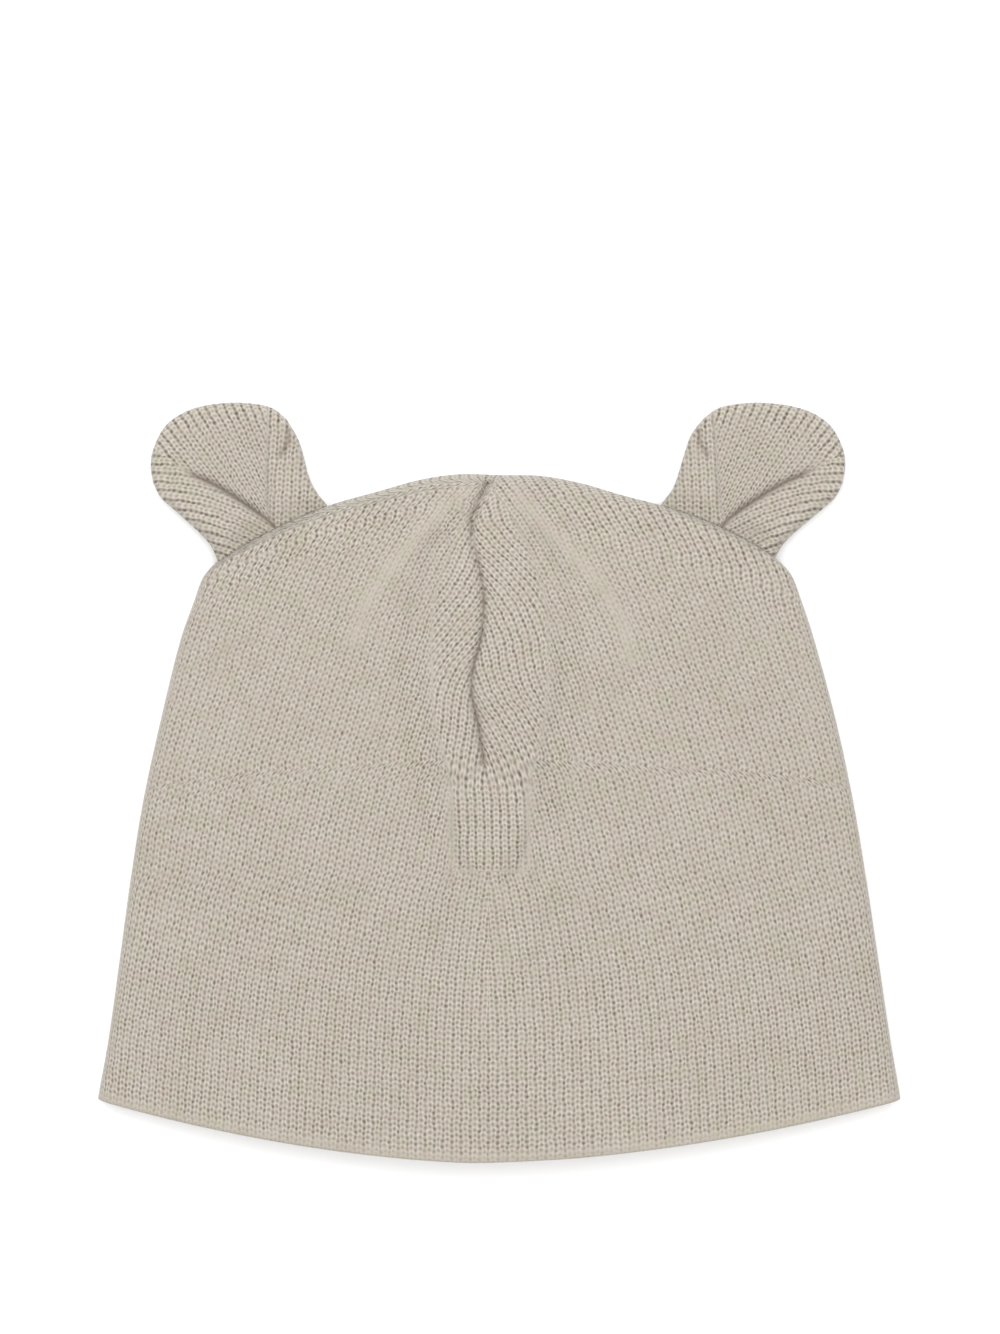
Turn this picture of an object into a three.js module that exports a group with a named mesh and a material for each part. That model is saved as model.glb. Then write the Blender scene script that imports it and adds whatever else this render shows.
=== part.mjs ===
// A baby's knitted hat with two ears, lying flat on its back.
// The frame: +Z up from the surface that it lies on, +Y towards the crown, +X to the right as seen from above,
// millimetres, with the origin on that surface under the middle of the hat.
// The cap is one knitted tube, closed along the crown and open at the hem. A dart seam runs down the front from
// the top of the crown. Each ear is a folded pad of the same knit, whose base meets the crown's edge.
import * as THREE from "three";

// The cap's driving sizes.
const WALL = 2.2;
const HEM_HALF_WIDTH = 100;
const HEM_CORNER_Y = -78.4;
const HEM_SAG = 14.9;
const HEM_LOWEST_X = -4;
const HEM_POWER = 1.7;
const SHOULDER_Y = 54.8;
const BACK_HEM_EXTRA = 0.7;
const BACK_HEM_POWER = 4;
const LIP_ROUND = 0.6;

// How high the folded edges and the lofted front lie above the surface.
const FOLD_MID_Z = 3.4;
const FOLD_CREST_Z = 7.2;
const FOLD_RADIUS = 3.6;
const INNER_FOLD_RADIUS = 1.4;
// The front's height falls off towards the sides with this power, and the wall's inner side moves in with the next.
const LOFT_POWER = 2.4;
const INSET_POWER = 5;

// The sides' outline: how far each side lies from the middle, from the hem's corners up to the shoulders.
const SIDE_OUTLINE = [
  { y: -78.9, left: 100.0, right: 99.6 },
  { y: -64.0, left: 97.3, right: 97.0 },
  { y: -44.1, left: 94.5, right: 94.0 },
  { y: -24.2, left: 91.8, right: 91.0 },
  { y: -4.3, left: 88.6, right: 87.6 },
  { y: 15.5, left: 84.3, right: 83.3 },
  { y: 35.4, left: 79.4, right: 77.9 },
  { y: 45.3, left: 75.9, right: 74.6 },
  { y: 51.0, left: 73.8, right: 72.3 },
  { y: 54.8, left: 70.6, right: 68.8 },
];

// The crown's outline from the top's middle out to the left and the right shoulder.
const CROWN_OUTLINE = [
  { x: 0.0, left: 76.4, right: 76.4 },
  { x: 10.0, left: 76.6, right: 76.2 },
  { x: 20.0, left: 75.2, right: 74.4 },
  { x: 30.0, left: 72.4, right: 71.5 },
  { x: 42.0, left: 69.0, right: 68.3 },
  { x: 52.0, left: 64.9, right: 64.7 },
  { x: 62.0, left: 59.9, right: 59.9 },
  { x: 70.0, left: 54.8, right: 54.8 },
];

// How far the front rises above the folded edges, along the cap's length.
const FRONT_LOFT = [
  { y: -94.0, rise: 6.0 },
  { y: -60.0, rise: 6.9 },
  { y: -20.0, rise: 8.3 },
  { y: 20.0, rise: 9.6 },
  { y: 48.0, rise: 8.8 },
  { y: 66.0, rise: 5.4 },
  { y: 77.0, rise: 2.4 },
];

// The middle wale from the hem to the dart's foot, and the dart's seam from there to the top.
const CENTRE_LINE = [
  { y: -94.0, x: -2.9 },
  { y: -10.0, x: -2.9 },
  { y: 5.1, x: -4.0 },
  { y: 15.0, x: -5.5 },
  { y: 22.0, x: -7.0 },
  { y: 28.0, x: -6.7 },
  { y: 36.0, x: -4.7 },
  { y: 45.0, x: -4.0 },
  { y: 52.0, x: -5.0 },
  { y: 59.0, x: -6.8 },
  { y: 65.0, x: -7.2 },
  { y: 71.4, x: -4.5 },
  { y: 77.0, x: -2.2 },
];
const CENTRE_PULL_WIDTH = 18;
const CENTRE_PULL_END = 24;

// The front's folds. Each runs through a short path, rises by height and fades over its half width.
// Where mirrored, a fold is repeated on the other side of the dart's axis.
const DART_AXIS_X = -2.6;
const FRONT_FOLDS = [
  {
    name: "dart seam",
    height: -1.7,
    halfWidth: 1.3,
    path: CENTRE_LINE.slice(2).map(({ x, y }) => [x, y]),
  },
  {
    name: "valley beside the dart",
    height: -1.9,
    halfWidth: 3.6,
    mirrored: true,
    path: [
      [-14.4, 60.0],
      [-20.4, 40.0],
      [-22.4, 28.0],
      [-20.4, 15.0],
      [-17.4, 1.0],
      [-15.4, -12.0],
      [-9.4, -23.5],
    ],
  },
  {
    name: "ridge from the top",
    height: 0.8,
    halfWidth: 3.0,
    mirrored: true,
    path: [
      [-9.5, 71.0],
      [-19.5, 61.0],
      [-28.4, 46.0],
      [-34.8, 34.0],
    ],
  },
  {
    name: "ridge below the dart",
    height: 0.7,
    halfWidth: 2.2,
    mirrored: true,
    path: [
      [-16.6, -25.0],
      [-11.8, -41.0],
    ],
  },
  {
    name: "crease down the middle",
    height: 0.35,
    halfWidth: 1.2,
    path: [
      [-2.9, -28.0],
      [-2.9, -93.0],
    ],
  },
];

// The ears. Each table's x is the distance outwards from the hat's middle, so the left ear's is mirrored.
// The inner side and the outer side run from the base to the rim, and the rim joins them over the top.
// The two folded flaps meet at the base: each crease runs from there to where it fades out.
const EAR_GAP = 0.4;
const EARS = {
  left: {
    side: -1,
    base: { inner: 42.9, outer: 70.0 },
    innerSide: [
      [43.1, 69.1],
      [45.6, 72.2],
      [47.5, 76.0],
      [48.9, 81.5],
      [50.3, 85.6],
      [53.0, 90.3],
    ],
    outerSide: [
      [70.3, 55.4],
      [72.0, 59.0],
      [75.4, 62.7],
      [80.9, 67.7],
      [84.2, 70.7],
      [86.1, 74.2],
    ],
    rim: [
      [53.0, 90.3],
      [57.5, 93.4],
      [66.5, 94.4],
      [76.0, 93.0],
      [82.6, 89.2],
      [85.9, 83.6],
      [86.8, 78.6],
      [86.1, 74.2],
    ],
    foot: [56.3, 63.5],
    outerCrease: [80.0, 78.6],
    innerCrease: [57.8, 90.0],
  },
  right: {
    side: 1,
    base: { inner: 40.0, outer: 68.3 },
    innerSide: [
      [40.2, 69.4],
      [42.9, 73.0],
      [44.4, 77.0],
      [46.0, 82.3],
      [47.6, 86.6],
      [50.5, 90.4],
    ],
    outerSide: [
      [68.6, 56.2],
      [70.4, 59.2],
      [73.9, 62.7],
      [79.9, 67.7],
      [83.2, 70.7],
      [85.1, 74.2],
    ],
    rim: [
      [50.5, 90.4],
      [55.0, 93.3],
      [64.5, 94.4],
      [75.0, 92.9],
      [81.6, 89.2],
      [84.9, 83.8],
      [85.8, 79.0],
      [85.1, 74.2],
    ],
    foot: [55.3, 63.5],
    outerCrease: [80.1, 79.0],
    innerCrease: [53.4, 90.0],
  },
};
const EAR_EDGE_Z = 3.4;
const EAR_UNDERSIDE_Z = 0.7;
const EAR_EDGE_RADIUS = 3.0;
const EAR_HOLLOW_Z = 5.6;
const EAR_FLAP_Z = 8.6;
const EAR_BASE_TOP_Z = 6.2;
const EAR_SLOPE_STEP = 0.5;
const EAR_BASE_SHARE = 0.25;
const EAR_CREASE_SOFTNESS = 1.4;

// Mesh density.
const ROWS_ALONG_CAP = 26;
const FOLD_STEPS = 3;
const OPEN_SIDE_STEPS = 5;
const DART_COLUMNS = [0, 1.5, 3.2, 5.5, 8.5, 11.5, 14.5, 17.5, 20.5, 23.5, 27];
const EAR_COLUMNS = 20;
const EAR_ROWS = 14;

const lerp = (a, b, share) => a + (b - a) * share;
const clamp = (value, low, high) => Math.min(Math.max(value, low), high);
const smooth = (low, high, value) => THREE.MathUtils.smoothstep(value, low, high);

// Reads a table by its key column, on a smooth curve through its rows.
function readTable(rows, key, column, at) {
  const last = rows.length - 1;
  const rising = rows[last][key] > rows[0][key];
  const place = clamp(at, Math.min(rows[0][key], rows[last][key]), Math.max(rows[0][key], rows[last][key]));
  let i = 0;
  while (i < last - 1 && (rising ? place > rows[i + 1][key] : place < rows[i + 1][key])) i += 1;
  const slope = (j) => {
    const before = rows[Math.max(j - 1, 0)];
    const after = rows[Math.min(j + 1, last)];
    return (after[column] - before[column]) / (after[key] - before[key]);
  };
  const span = rows[i + 1][key] - rows[i][key];
  const share = (place - rows[i][key]) / span;
  const share2 = share * share;
  const share3 = share2 * share;
  return (
    rows[i][column] * (2 * share3 - 3 * share2 + 1) +
    slope(i) * span * (share3 - 2 * share2 + share) +
    rows[i + 1][column] * (3 * share2 - 2 * share3) +
    slope(i + 1) * span * (share3 - share2)
  );
}

const sideHalfWidth = (across, y) => readTable(SIDE_OUTLINE, "y", across < 0 ? "left" : "right", y);
const crownY = (x) => readTable(CROWN_OUTLINE, "x", x < 0 ? "left" : "right", Math.abs(x));
const centreX = (y) => readTable(CENTRE_LINE, "y", "x", y);

// The hem hangs between both corners, lowest a little left of the middle, with the back longer than the front.
function hemY(x, isBack) {
  const reach = x < HEM_LOWEST_X ? HEM_HALF_WIDTH + HEM_LOWEST_X : HEM_HALF_WIDTH - HEM_LOWEST_X;
  const depth = HEM_SAG * (1 - (Math.abs(x - HEM_LOWEST_X) / reach) ** HEM_POWER);
  const extra = isBack ? BACK_HEM_EXTRA * (1 - (x / HEM_HALF_WIDTH) ** BACK_HEM_POWER) : 0;
  return HEM_CORNER_Y - depth - extra;
}

// The place in plan of a point: across from -1 at the left fold to 1 at the right, along from 0 at the hem to 1
// at the crown's edge. The columns near the middle lean over to follow the dart's seam.
function planPoint(across, along, isBack) {
  const rowY = lerp(HEM_CORNER_Y, SHOULDER_Y, along);
  const x = across * sideHalfWidth(across, rowY);
  const topX = across * sideHalfWidth(across, SHOULDER_Y);
  const y = lerp(hemY(across * HEM_HALF_WIDTH, isBack), crownY(topX), along);
  const pull = isBack ? 0 : centreX(y) * Math.exp(-((x / CENTRE_PULL_WIDTH) ** 2));
  return { x: x + pull * (1 - along ** CENTRE_PULL_END), y };
}

// How far a point in plan lies from a path of short straight runs.
function distanceToPath(path, x, y) {
  let nearest = Infinity;
  for (let i = 0; i + 1 < path.length; i += 1) {
    const [ax, ay] = path[i];
    const [bx, by] = path[i + 1];
    const share = clamp(((x - ax) * (bx - ax) + (y - ay) * (by - ay)) / ((bx - ax) ** 2 + (by - ay) ** 2), 0, 1);
    nearest = Math.min(nearest, Math.hypot(x - lerp(ax, bx, share), y - lerp(ay, by, share)));
  }
  return nearest;
}

// The sum of the folds at a point of the front.
function foldRelief(x, y) {
  let relief = 0;
  for (const { height, halfWidth, path, mirrored } of FRONT_FOLDS) {
    relief += height * Math.exp(-((distanceToPath(path, x, y) / halfWidth) ** 2));
    if (mirrored) {
      const otherX = 2 * DART_AXIS_X - x;
      relief += height * Math.exp(-((distanceToPath(path, otherX, y) / halfWidth) ** 2));
    }
  }
  return relief;
}

// How round an edge is at a distance from it: 0 on the edge, 1 from one radius on.
function edgeRound(distance, radius) {
  const inside = 1 - clamp(distance / radius, 0, 1);
  return Math.sqrt(1 - inside * inside);
}

// The front's height where no edge is near.
function frontHeight(across, x, y) {
  const loft = readTable(FRONT_LOFT, "y", "rise", y) * (1 - Math.abs(across) ** LOFT_POWER);
  return FOLD_CREST_Z + loft + foldRelief(x, y);
}

// A point of the cap's outer or inner skin.
function capPoint(across, along, isBack, isInner) {
  const { x, y } = planPoint(across, along, isBack);
  const inset = isInner ? WALL : 0;
  const radius = isInner ? INNER_FOLD_RADIUS : FOLD_RADIUS;
  const halfWidth = sideHalfWidth(across, lerp(HEM_CORNER_Y, SHOULDER_Y, along));
  const length = crownY(x) - hemY(x, isBack);
  const innerX = x - inset * across ** INSET_POWER;
  const innerY = y - inset * along ** INSET_POWER;
  const round = edgeRound((1 - Math.abs(across)) * halfWidth, radius) * edgeRound((1 - along) * length, radius);
  const far = isBack ? inset : frontHeight(across, x, y) - inset;
  return new THREE.Vector3(innerX, innerY, lerp(FOLD_MID_Z, far, round));
}

// The places of the columns: close together across the dart and round each fold.
function columnPlaces() {
  const half = DART_COLUMNS.map((x) => x / HEM_HALF_WIDTH);
  const dartEnd = half[half.length - 1];
  const foldShare = FOLD_RADIUS / HEM_HALF_WIDTH;
  for (let i = 1; i <= OPEN_SIDE_STEPS; i += 1) half.push(lerp(dartEnd, 1 - foldShare, i / OPEN_SIDE_STEPS));
  for (let i = 1; i <= FOLD_STEPS; i += 1) {
    half.push(1 - foldShare * (1 - Math.sin((i / FOLD_STEPS) * (Math.PI / 2))));
  }
  return [...half.slice(1).reverse().map((place) => -place), ...half];
}

// The places of the rows: even along the cap, then close together round the crown's edge.
function rowPlaces() {
  const capLength = crownY(0) - hemY(0, false);
  const edgeStart = 1 - FOLD_RADIUS / capLength;
  const rows = [];
  for (let i = 0; i <= ROWS_ALONG_CAP; i += 1) rows.push(edgeStart * (i / ROWS_ALONG_CAP));
  for (let i = 1; i <= FOLD_STEPS; i += 1) rows.push(lerp(edgeStart, 1, Math.sin((i / FOLD_STEPS) * (Math.PI / 2))));
  return rows;
}

// A closed ring of points: over the upper side one way and back along the lower side.
function ring(places, pointAt) {
  const over = places.map((place) => pointAt(place, false));
  const under = places.slice(1, -1).reverse().map((place) => pointAt(place, true));
  return [...over, ...under];
}

// Joins rings of equal length into one closed body. The last ring has no width, so its two sides meet, and so
// has the first, unless it is an open end that a flat strip closes.
function bodyOfRings(rings, closesStart) {
  const count = rings[0].length;
  const columns = count / 2;
  const positions = rings.flat().flatMap((point) => [point.x, point.y, point.z]);
  const triangles = [];
  for (let row = 0; row + 1 < rings.length; row += 1) {
    for (let i = 0; i < count; i += 1) {
      const a = row * count + i;
      const b = row * count + ((i + 1) % count);
      triangles.push(a, b, b + count, a, b + count, a + count);
    }
  }
  if (closesStart) {
    for (let i = 0; i < columns; i += 1) {
      const under = (count - i) % count;
      const nextUnder = count - i - 1;
      if (under !== i) triangles.push(i, under, nextUnder);
      if (nextUnder !== i + 1) triangles.push(i, nextUnder, i + 1);
    }
  }
  const geometry = new THREE.BufferGeometry();
  geometry.setAttribute("position", new THREE.Float32BufferAttribute(positions, 3));
  geometry.setIndex(triangles);
  geometry.computeVertexNormals();
  return geometry;
}

// The cap: the inner skin from the crown down to the hem, round the lip, and up the outer skin.
function capGeometry() {
  const columns = columnPlaces();
  const rows = rowPlaces();
  const skin = (along, isInner) => ring(columns, (across, isBack) => capPoint(across, along, isBack, isInner));
  const inner = rows.map((along) => skin(along, true)).reverse();
  const outer = rows.map((along) => skin(along, false));
  const innerHem = inner[inner.length - 1];
  const lip = outer[0].map((point, i) => {
    const middle = point.clone().lerp(innerHem[i], 0.5);
    return middle.setY(middle.y - LIP_ROUND);
  });
  return bodyOfRings([...inner, lip, ...outer], false);
}

// A smooth curve in plan through a short list of points, read by its length.
const planCurve = (points) => new THREE.SplineCurve(points.map(([x, y]) => new THREE.Vector2(x, y)));

// The shape of one ear in plan, from its table.
function earOutline({ side, base, innerSide, outerSide, rim, foot, outerCrease, innerCrease }) {
  const innerCurve = planCurve(innerSide);
  const outerCurve = planCurve(outerSide);
  const rimCurve = planCurve(rim);
  const edgeY = (x) => crownY(side * x);
  // The base follows the crown's edge, a small gap away from it.
  const baseAt = (across) => {
    const x = lerp(base.inner, base.outer, across);
    const slope = (edgeY(x + EAR_SLOPE_STEP) - edgeY(x - EAR_SLOPE_STEP)) / (2 * EAR_SLOPE_STEP);
    return new THREE.Vector2(x, edgeY(x)).addScaledVector(new THREE.Vector2(-slope, 1).normalize(), EAR_GAP);
  };
  // Blends the four edge curves: across from the inner side to the outer one, along from the base to the rim.
  const planAt = (across, along) => {
    const sides = innerCurve.getPointAt(along).lerp(outerCurve.getPointAt(along), across);
    const ends = baseAt(across).lerp(rimCurve.getPointAt(across), along);
    const baseChord = baseAt(0).lerp(baseAt(1), across);
    const rimChord = rimCurve.getPointAt(0).lerp(rimCurve.getPointAt(1), across);
    return sides.add(ends).sub(baseChord.lerp(rimChord, along));
  };
  return {
    planAt,
    widthAt: (along) => innerCurve.getPointAt(along).distanceTo(outerCurve.getPointAt(along)),
    lengthAt: (across) => baseAt(across).distanceTo(rimCurve.getPointAt(across)),
    creases: [
      { from: foot, to: outerCrease, side: -1 },
      { from: foot, to: innerCrease, side: 1 },
    ],
  };
}

// How far a point lies to one side of a crease: 0 in the hollow, 1 on the flap.
function onFlap(point, { from, to, side }) {
  const run = new THREE.Vector2(to[0] - from[0], to[1] - from[1]);
  const offset = run.cross(new THREE.Vector2(point.x - from[0], point.y - from[1])) / run.length();
  return smooth(-EAR_CREASE_SOFTNESS, EAR_CREASE_SOFTNESS, side * offset);
}

// A point of the ear: its upper side is hollow between the two flaps, its under side is nearly flat.
function earPoint(outline, across, along, isUnder) {
  const plan = outline.planAt(across, along);
  const sideDistance = Math.min(across, 1 - across) * outline.widthAt(along);
  const rimDistance = (1 - along) * outline.lengthAt(across);
  const round = edgeRound(sideDistance, EAR_EDGE_RADIUS) * edgeRound(rimDistance, EAR_EDGE_RADIUS);
  const flap = Math.max(...outline.creases.map((crease) => onFlap(plan, crease)));
  const folded = lerp(EAR_HOLLOW_Z, EAR_FLAP_Z, flap);
  const upper = lerp(EAR_BASE_TOP_Z, folded, smooth(0, EAR_BASE_SHARE, along));
  return new THREE.Vector3(plan.x, plan.y, lerp(EAR_EDGE_Z, isUnder ? EAR_UNDERSIDE_Z : upper, round));
}

// The ear as rings from its base to its rim.
function earGeometry(outline) {
  const columns = [];
  for (let i = 0; i <= EAR_COLUMNS; i += 1) columns.push(0.5 - 0.5 * Math.cos((Math.PI * i) / EAR_COLUMNS));
  const rings = [];
  for (let i = 0; i <= EAR_ROWS; i += 1) {
    const along = Math.sin(((Math.PI / 2) * i) / EAR_ROWS);
    rings.push(ring(columns, (across, isUnder) => earPoint(outline, across, along, isUnder)));
  }
  return bodyOfRings(rings, true);
}

const knit = (name, color) => new THREE.MeshStandardMaterial({ name, color, roughness: 0.95, metalness: 0 });

const cap = new THREE.Mesh(capGeometry(), knit("cap_knit", 0xc2bbae));
cap.name = "cap_body";

const earRight = new THREE.Mesh(earGeometry(earOutline(EARS.right)), knit("ear_knit", 0xc3bcae));
earRight.name = "ear_right";

const earLeft = new THREE.Mesh(earGeometry(earOutline(EARS.left)), knit("ear_knit", 0xc3bcae));
earLeft.name = "ear_left";
earLeft.scale.x = -1;

const hat = new THREE.Group();
hat.add(cap, earRight, earLeft);

export default hat;
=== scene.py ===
import logging
import math
from dataclasses import dataclass, field
from enum import Enum
from typing import Sequence

import bpy
import numpy as np
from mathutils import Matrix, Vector


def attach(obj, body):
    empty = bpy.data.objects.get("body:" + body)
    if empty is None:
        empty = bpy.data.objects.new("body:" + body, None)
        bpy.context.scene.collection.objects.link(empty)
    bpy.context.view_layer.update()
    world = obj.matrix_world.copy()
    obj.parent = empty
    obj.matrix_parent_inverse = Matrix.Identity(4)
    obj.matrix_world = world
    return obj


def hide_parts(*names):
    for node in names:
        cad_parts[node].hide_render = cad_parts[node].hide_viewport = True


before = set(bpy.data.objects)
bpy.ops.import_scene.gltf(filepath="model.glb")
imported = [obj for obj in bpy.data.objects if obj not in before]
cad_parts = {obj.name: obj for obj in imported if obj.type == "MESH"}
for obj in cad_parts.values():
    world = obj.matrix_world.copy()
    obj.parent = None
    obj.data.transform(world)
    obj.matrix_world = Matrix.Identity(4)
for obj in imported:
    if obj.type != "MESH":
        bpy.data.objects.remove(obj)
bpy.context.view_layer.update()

LOG = logging.getLogger("baby_hat")
MM = 0.001
BODY = "root"
STITCH_MAP = "stitches"
BAKE_MAP = "OFBake"
TIGHTNESS = "tightness"
SHADE = "shade"
RIB = "rib"
SECOND_MAP = "second_stitches"
SECOND_SIDE = "second_side"
# The second map's side value where a sheet has no second map.
FAR_OUTSIDE = -9.0
# Most of a noise pattern's values lie between these, and a finer pattern's between the wider pairs.
NOISE_RANGE = (0.3, 0.7)
FIBRE_RANGE = (0.25, 0.75)
WIDE_RANGE = (0.2, 0.8)
COARSE = 1.0
FINE = 2.0

Socket = bpy.types.NodeSocket
Values = np.ndarray | float
Colour = tuple[int, int, int]
Point = tuple[float, float]
# A part of the square that is baked: its lower left corner, its width and its height.
Part = tuple[float, float, float, float]


class Side(Enum):
    """The hat's left and right as seen from above, with the sign of X there."""

    LEFT = -1
    RIGHT = 1


class Face(Enum):
    """Which face of the knit shows: the smooth one outside, the bumpy one inside."""

    PLAIN = "plain"
    PURL = "purl"


def lerp(low: Values, high: Values, share: Values) -> Values:
    """Returns the value a share of the way from low to high."""
    return low + (high - low) * share


def smooth(low: float, high: float, value: np.ndarray) -> np.ndarray:
    """Eases from 0 to 1 between two values.

    Args:
        low: where the result leaves 0.
        high: where the result reaches 1.
        value: the values to read.

    Returns:
        The eased share for each value.
    """
    share = np.clip((value - low) / (high - low), 0.0, 1.0)
    return share * share * (3 - 2 * share)


def edge_round(distance: np.ndarray, radius: float) -> np.ndarray:
    """Rises on a quarter circle from 0 on an edge to 1 at one radius from it.

    Args:
        distance: how far each point lies from the edge.
        radius: the edge's rounding.

    Returns:
        The share of the full height at each point.
    """
    inside = 1 - np.clip(distance / radius, 0.0, 1.0)
    return np.sqrt(np.maximum(1 - inside * inside, 0.0))


def bell(distance: np.ndarray, half_width: float) -> np.ndarray:
    """Returns a round hump, 1 at no distance and falling off on both sides."""
    return np.exp(-((distance / half_width) ** 2))


def running_total(steps: np.ndarray, axis: int = 0) -> np.ndarray:
    """Adds steps up from 0, which gives one value more than there are steps."""
    start = np.zeros_like(np.take(steps, [0], axis=axis))
    return np.concatenate([start, np.cumsum(steps, axis=axis)], axis=axis)


def smooth_run(share: np.ndarray, start: Values, end: Values, leave: Values, arrive: Values) -> np.ndarray:
    """Follows a smooth curve from one value to another.

    Args:
        share: how far along the curve, from 0 to 1.
        start: the value that it starts from.
        end: the value that it comes to.
        leave: its slope at the start.
        arrive: its slope at the end.

    Returns:
        The value at each share.
    """
    square = share * share
    cube = square * share
    return (
        start * (2 * cube - 3 * square + 1)
        + leave * (cube - 2 * square + share)
        + end * (3 * square - 2 * cube)
        + arrive * (cube - square)
    )


@dataclass(frozen=True)
class Table:
    """A short table of a size against a place, read on a smooth curve through its rows."""

    rows: tuple[Point, ...]

    def at(self, place: Values) -> np.ndarray:
        """Reads the table.

        Args:
            place: where to read it, clamped to its ends.

        Returns:
            The size at each place.
        """
        keys, values = np.array(self.rows).T
        slopes = np.empty_like(values)
        slopes[1:-1] = (values[2:] - values[:-2]) / (keys[2:] - keys[:-2])
        slopes[0] = (values[1] - values[0]) / (keys[1] - keys[0])
        slopes[-1] = (values[-1] - values[-2]) / (keys[-1] - keys[-2])
        where = np.clip(np.asarray(place, float), keys[0], keys[-1])
        i = np.clip(np.searchsorted(keys, where, side="right") - 1, 0, len(keys) - 2)
        span = keys[i + 1] - keys[i]
        share = (where - keys[i]) / span
        return smooth_run(share, values[i], values[i + 1], slopes[i] * span, slopes[i + 1] * span)


def table(*rows: Point) -> Table:
    """Makes a table from its rows."""
    return Table(rows)


@dataclass(frozen=True)
class Path:
    """A line of short straight runs in plan."""

    points: tuple[Point, ...]

    def nearest(self, x: np.ndarray, y: np.ndarray) -> tuple[np.ndarray, np.ndarray]:
        """Measures points against the line.

        Args:
            x: the points' places across.
            y: the points' places along.

        Returns:
            Each point's signed distance, positive on the line's left, and its share of the line's length.
        """
        runs = np.hypot(*np.diff(np.array(self.points), axis=0).T)
        starts = running_total(runs)
        best = np.full(np.shape(x), np.inf)
        signed = np.zeros(np.shape(x))
        share_along = np.zeros(np.shape(x))
        for i, run in enumerate(runs):
            ax, ay = self.points[i]
            dx, dy = (self.points[i + 1][0] - ax) / run, (self.points[i + 1][1] - ay) / run
            along = np.clip((x - ax) * dx + (y - ay) * dy, 0.0, run)
            distance = np.hypot(x - ax - along * dx, y - ay - along * dy)
            left = dx * (y - ay) - dy * (x - ax)
            closer = distance < best
            best = np.where(closer, distance, best)
            signed = np.where(closer, np.where(left >= 0, distance, -distance), signed)
            share_along = np.where(closer, (starts[i] + along) / starts[-1], share_along)
        return signed, share_along


def line(*points: Point) -> Path:
    """Makes a line through its points."""
    return Path(points)


class Mark(Enum):
    """What a fold does to the knit that is drawn on it."""

    NONE = "none"
    # Painted shade along the fold.
    DARK = "dark"
    # Blurred stitches with a painted highlight along the fold.
    BLURRED_WITH_HIGHLIGHT = "blurred_with_highlight"
    LOOSE = "loose"
    RIBBED = "ribbed"


@dataclass(frozen=True)
class Fold:
    """A ridge or a valley of the cap's front, in millimetres."""

    name: str
    height: float
    half_width: float
    path: Path
    mirrored: bool = False
    mark: Mark = Mark.NONE
    axis: float = -2.6

    def relief(self, x: np.ndarray, y: np.ndarray) -> np.ndarray:
        """Works out the fold's height at points in plan.

        Args:
            x: the points' places across.
            y: the points' places along.

        Returns:
            The height, added for the mirrored fold too.
        """
        total = bell(self.path.nearest(x, y)[0], self.half_width)
        if self.mirrored:
            total = total + bell(self.path.nearest(2 * self.axis - x, y)[0], self.half_width)
        return self.height * total


@dataclass(frozen=True)
class Ripple:
    """Two waves over the cloth times a height. Each wave has its slopes across and along and its start."""

    height: float
    first: tuple[float, float, float]
    second: tuple[float, float, float]

    def relief(self, x: np.ndarray, y: np.ndarray) -> np.ndarray:
        """Returns the ripple's height at points in plan."""
        waves = [np.sin(x * wave[0] + y * wave[1] + wave[2]) for wave in (self.first, self.second)]
        return self.height * waves[0] * waves[1]


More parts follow.
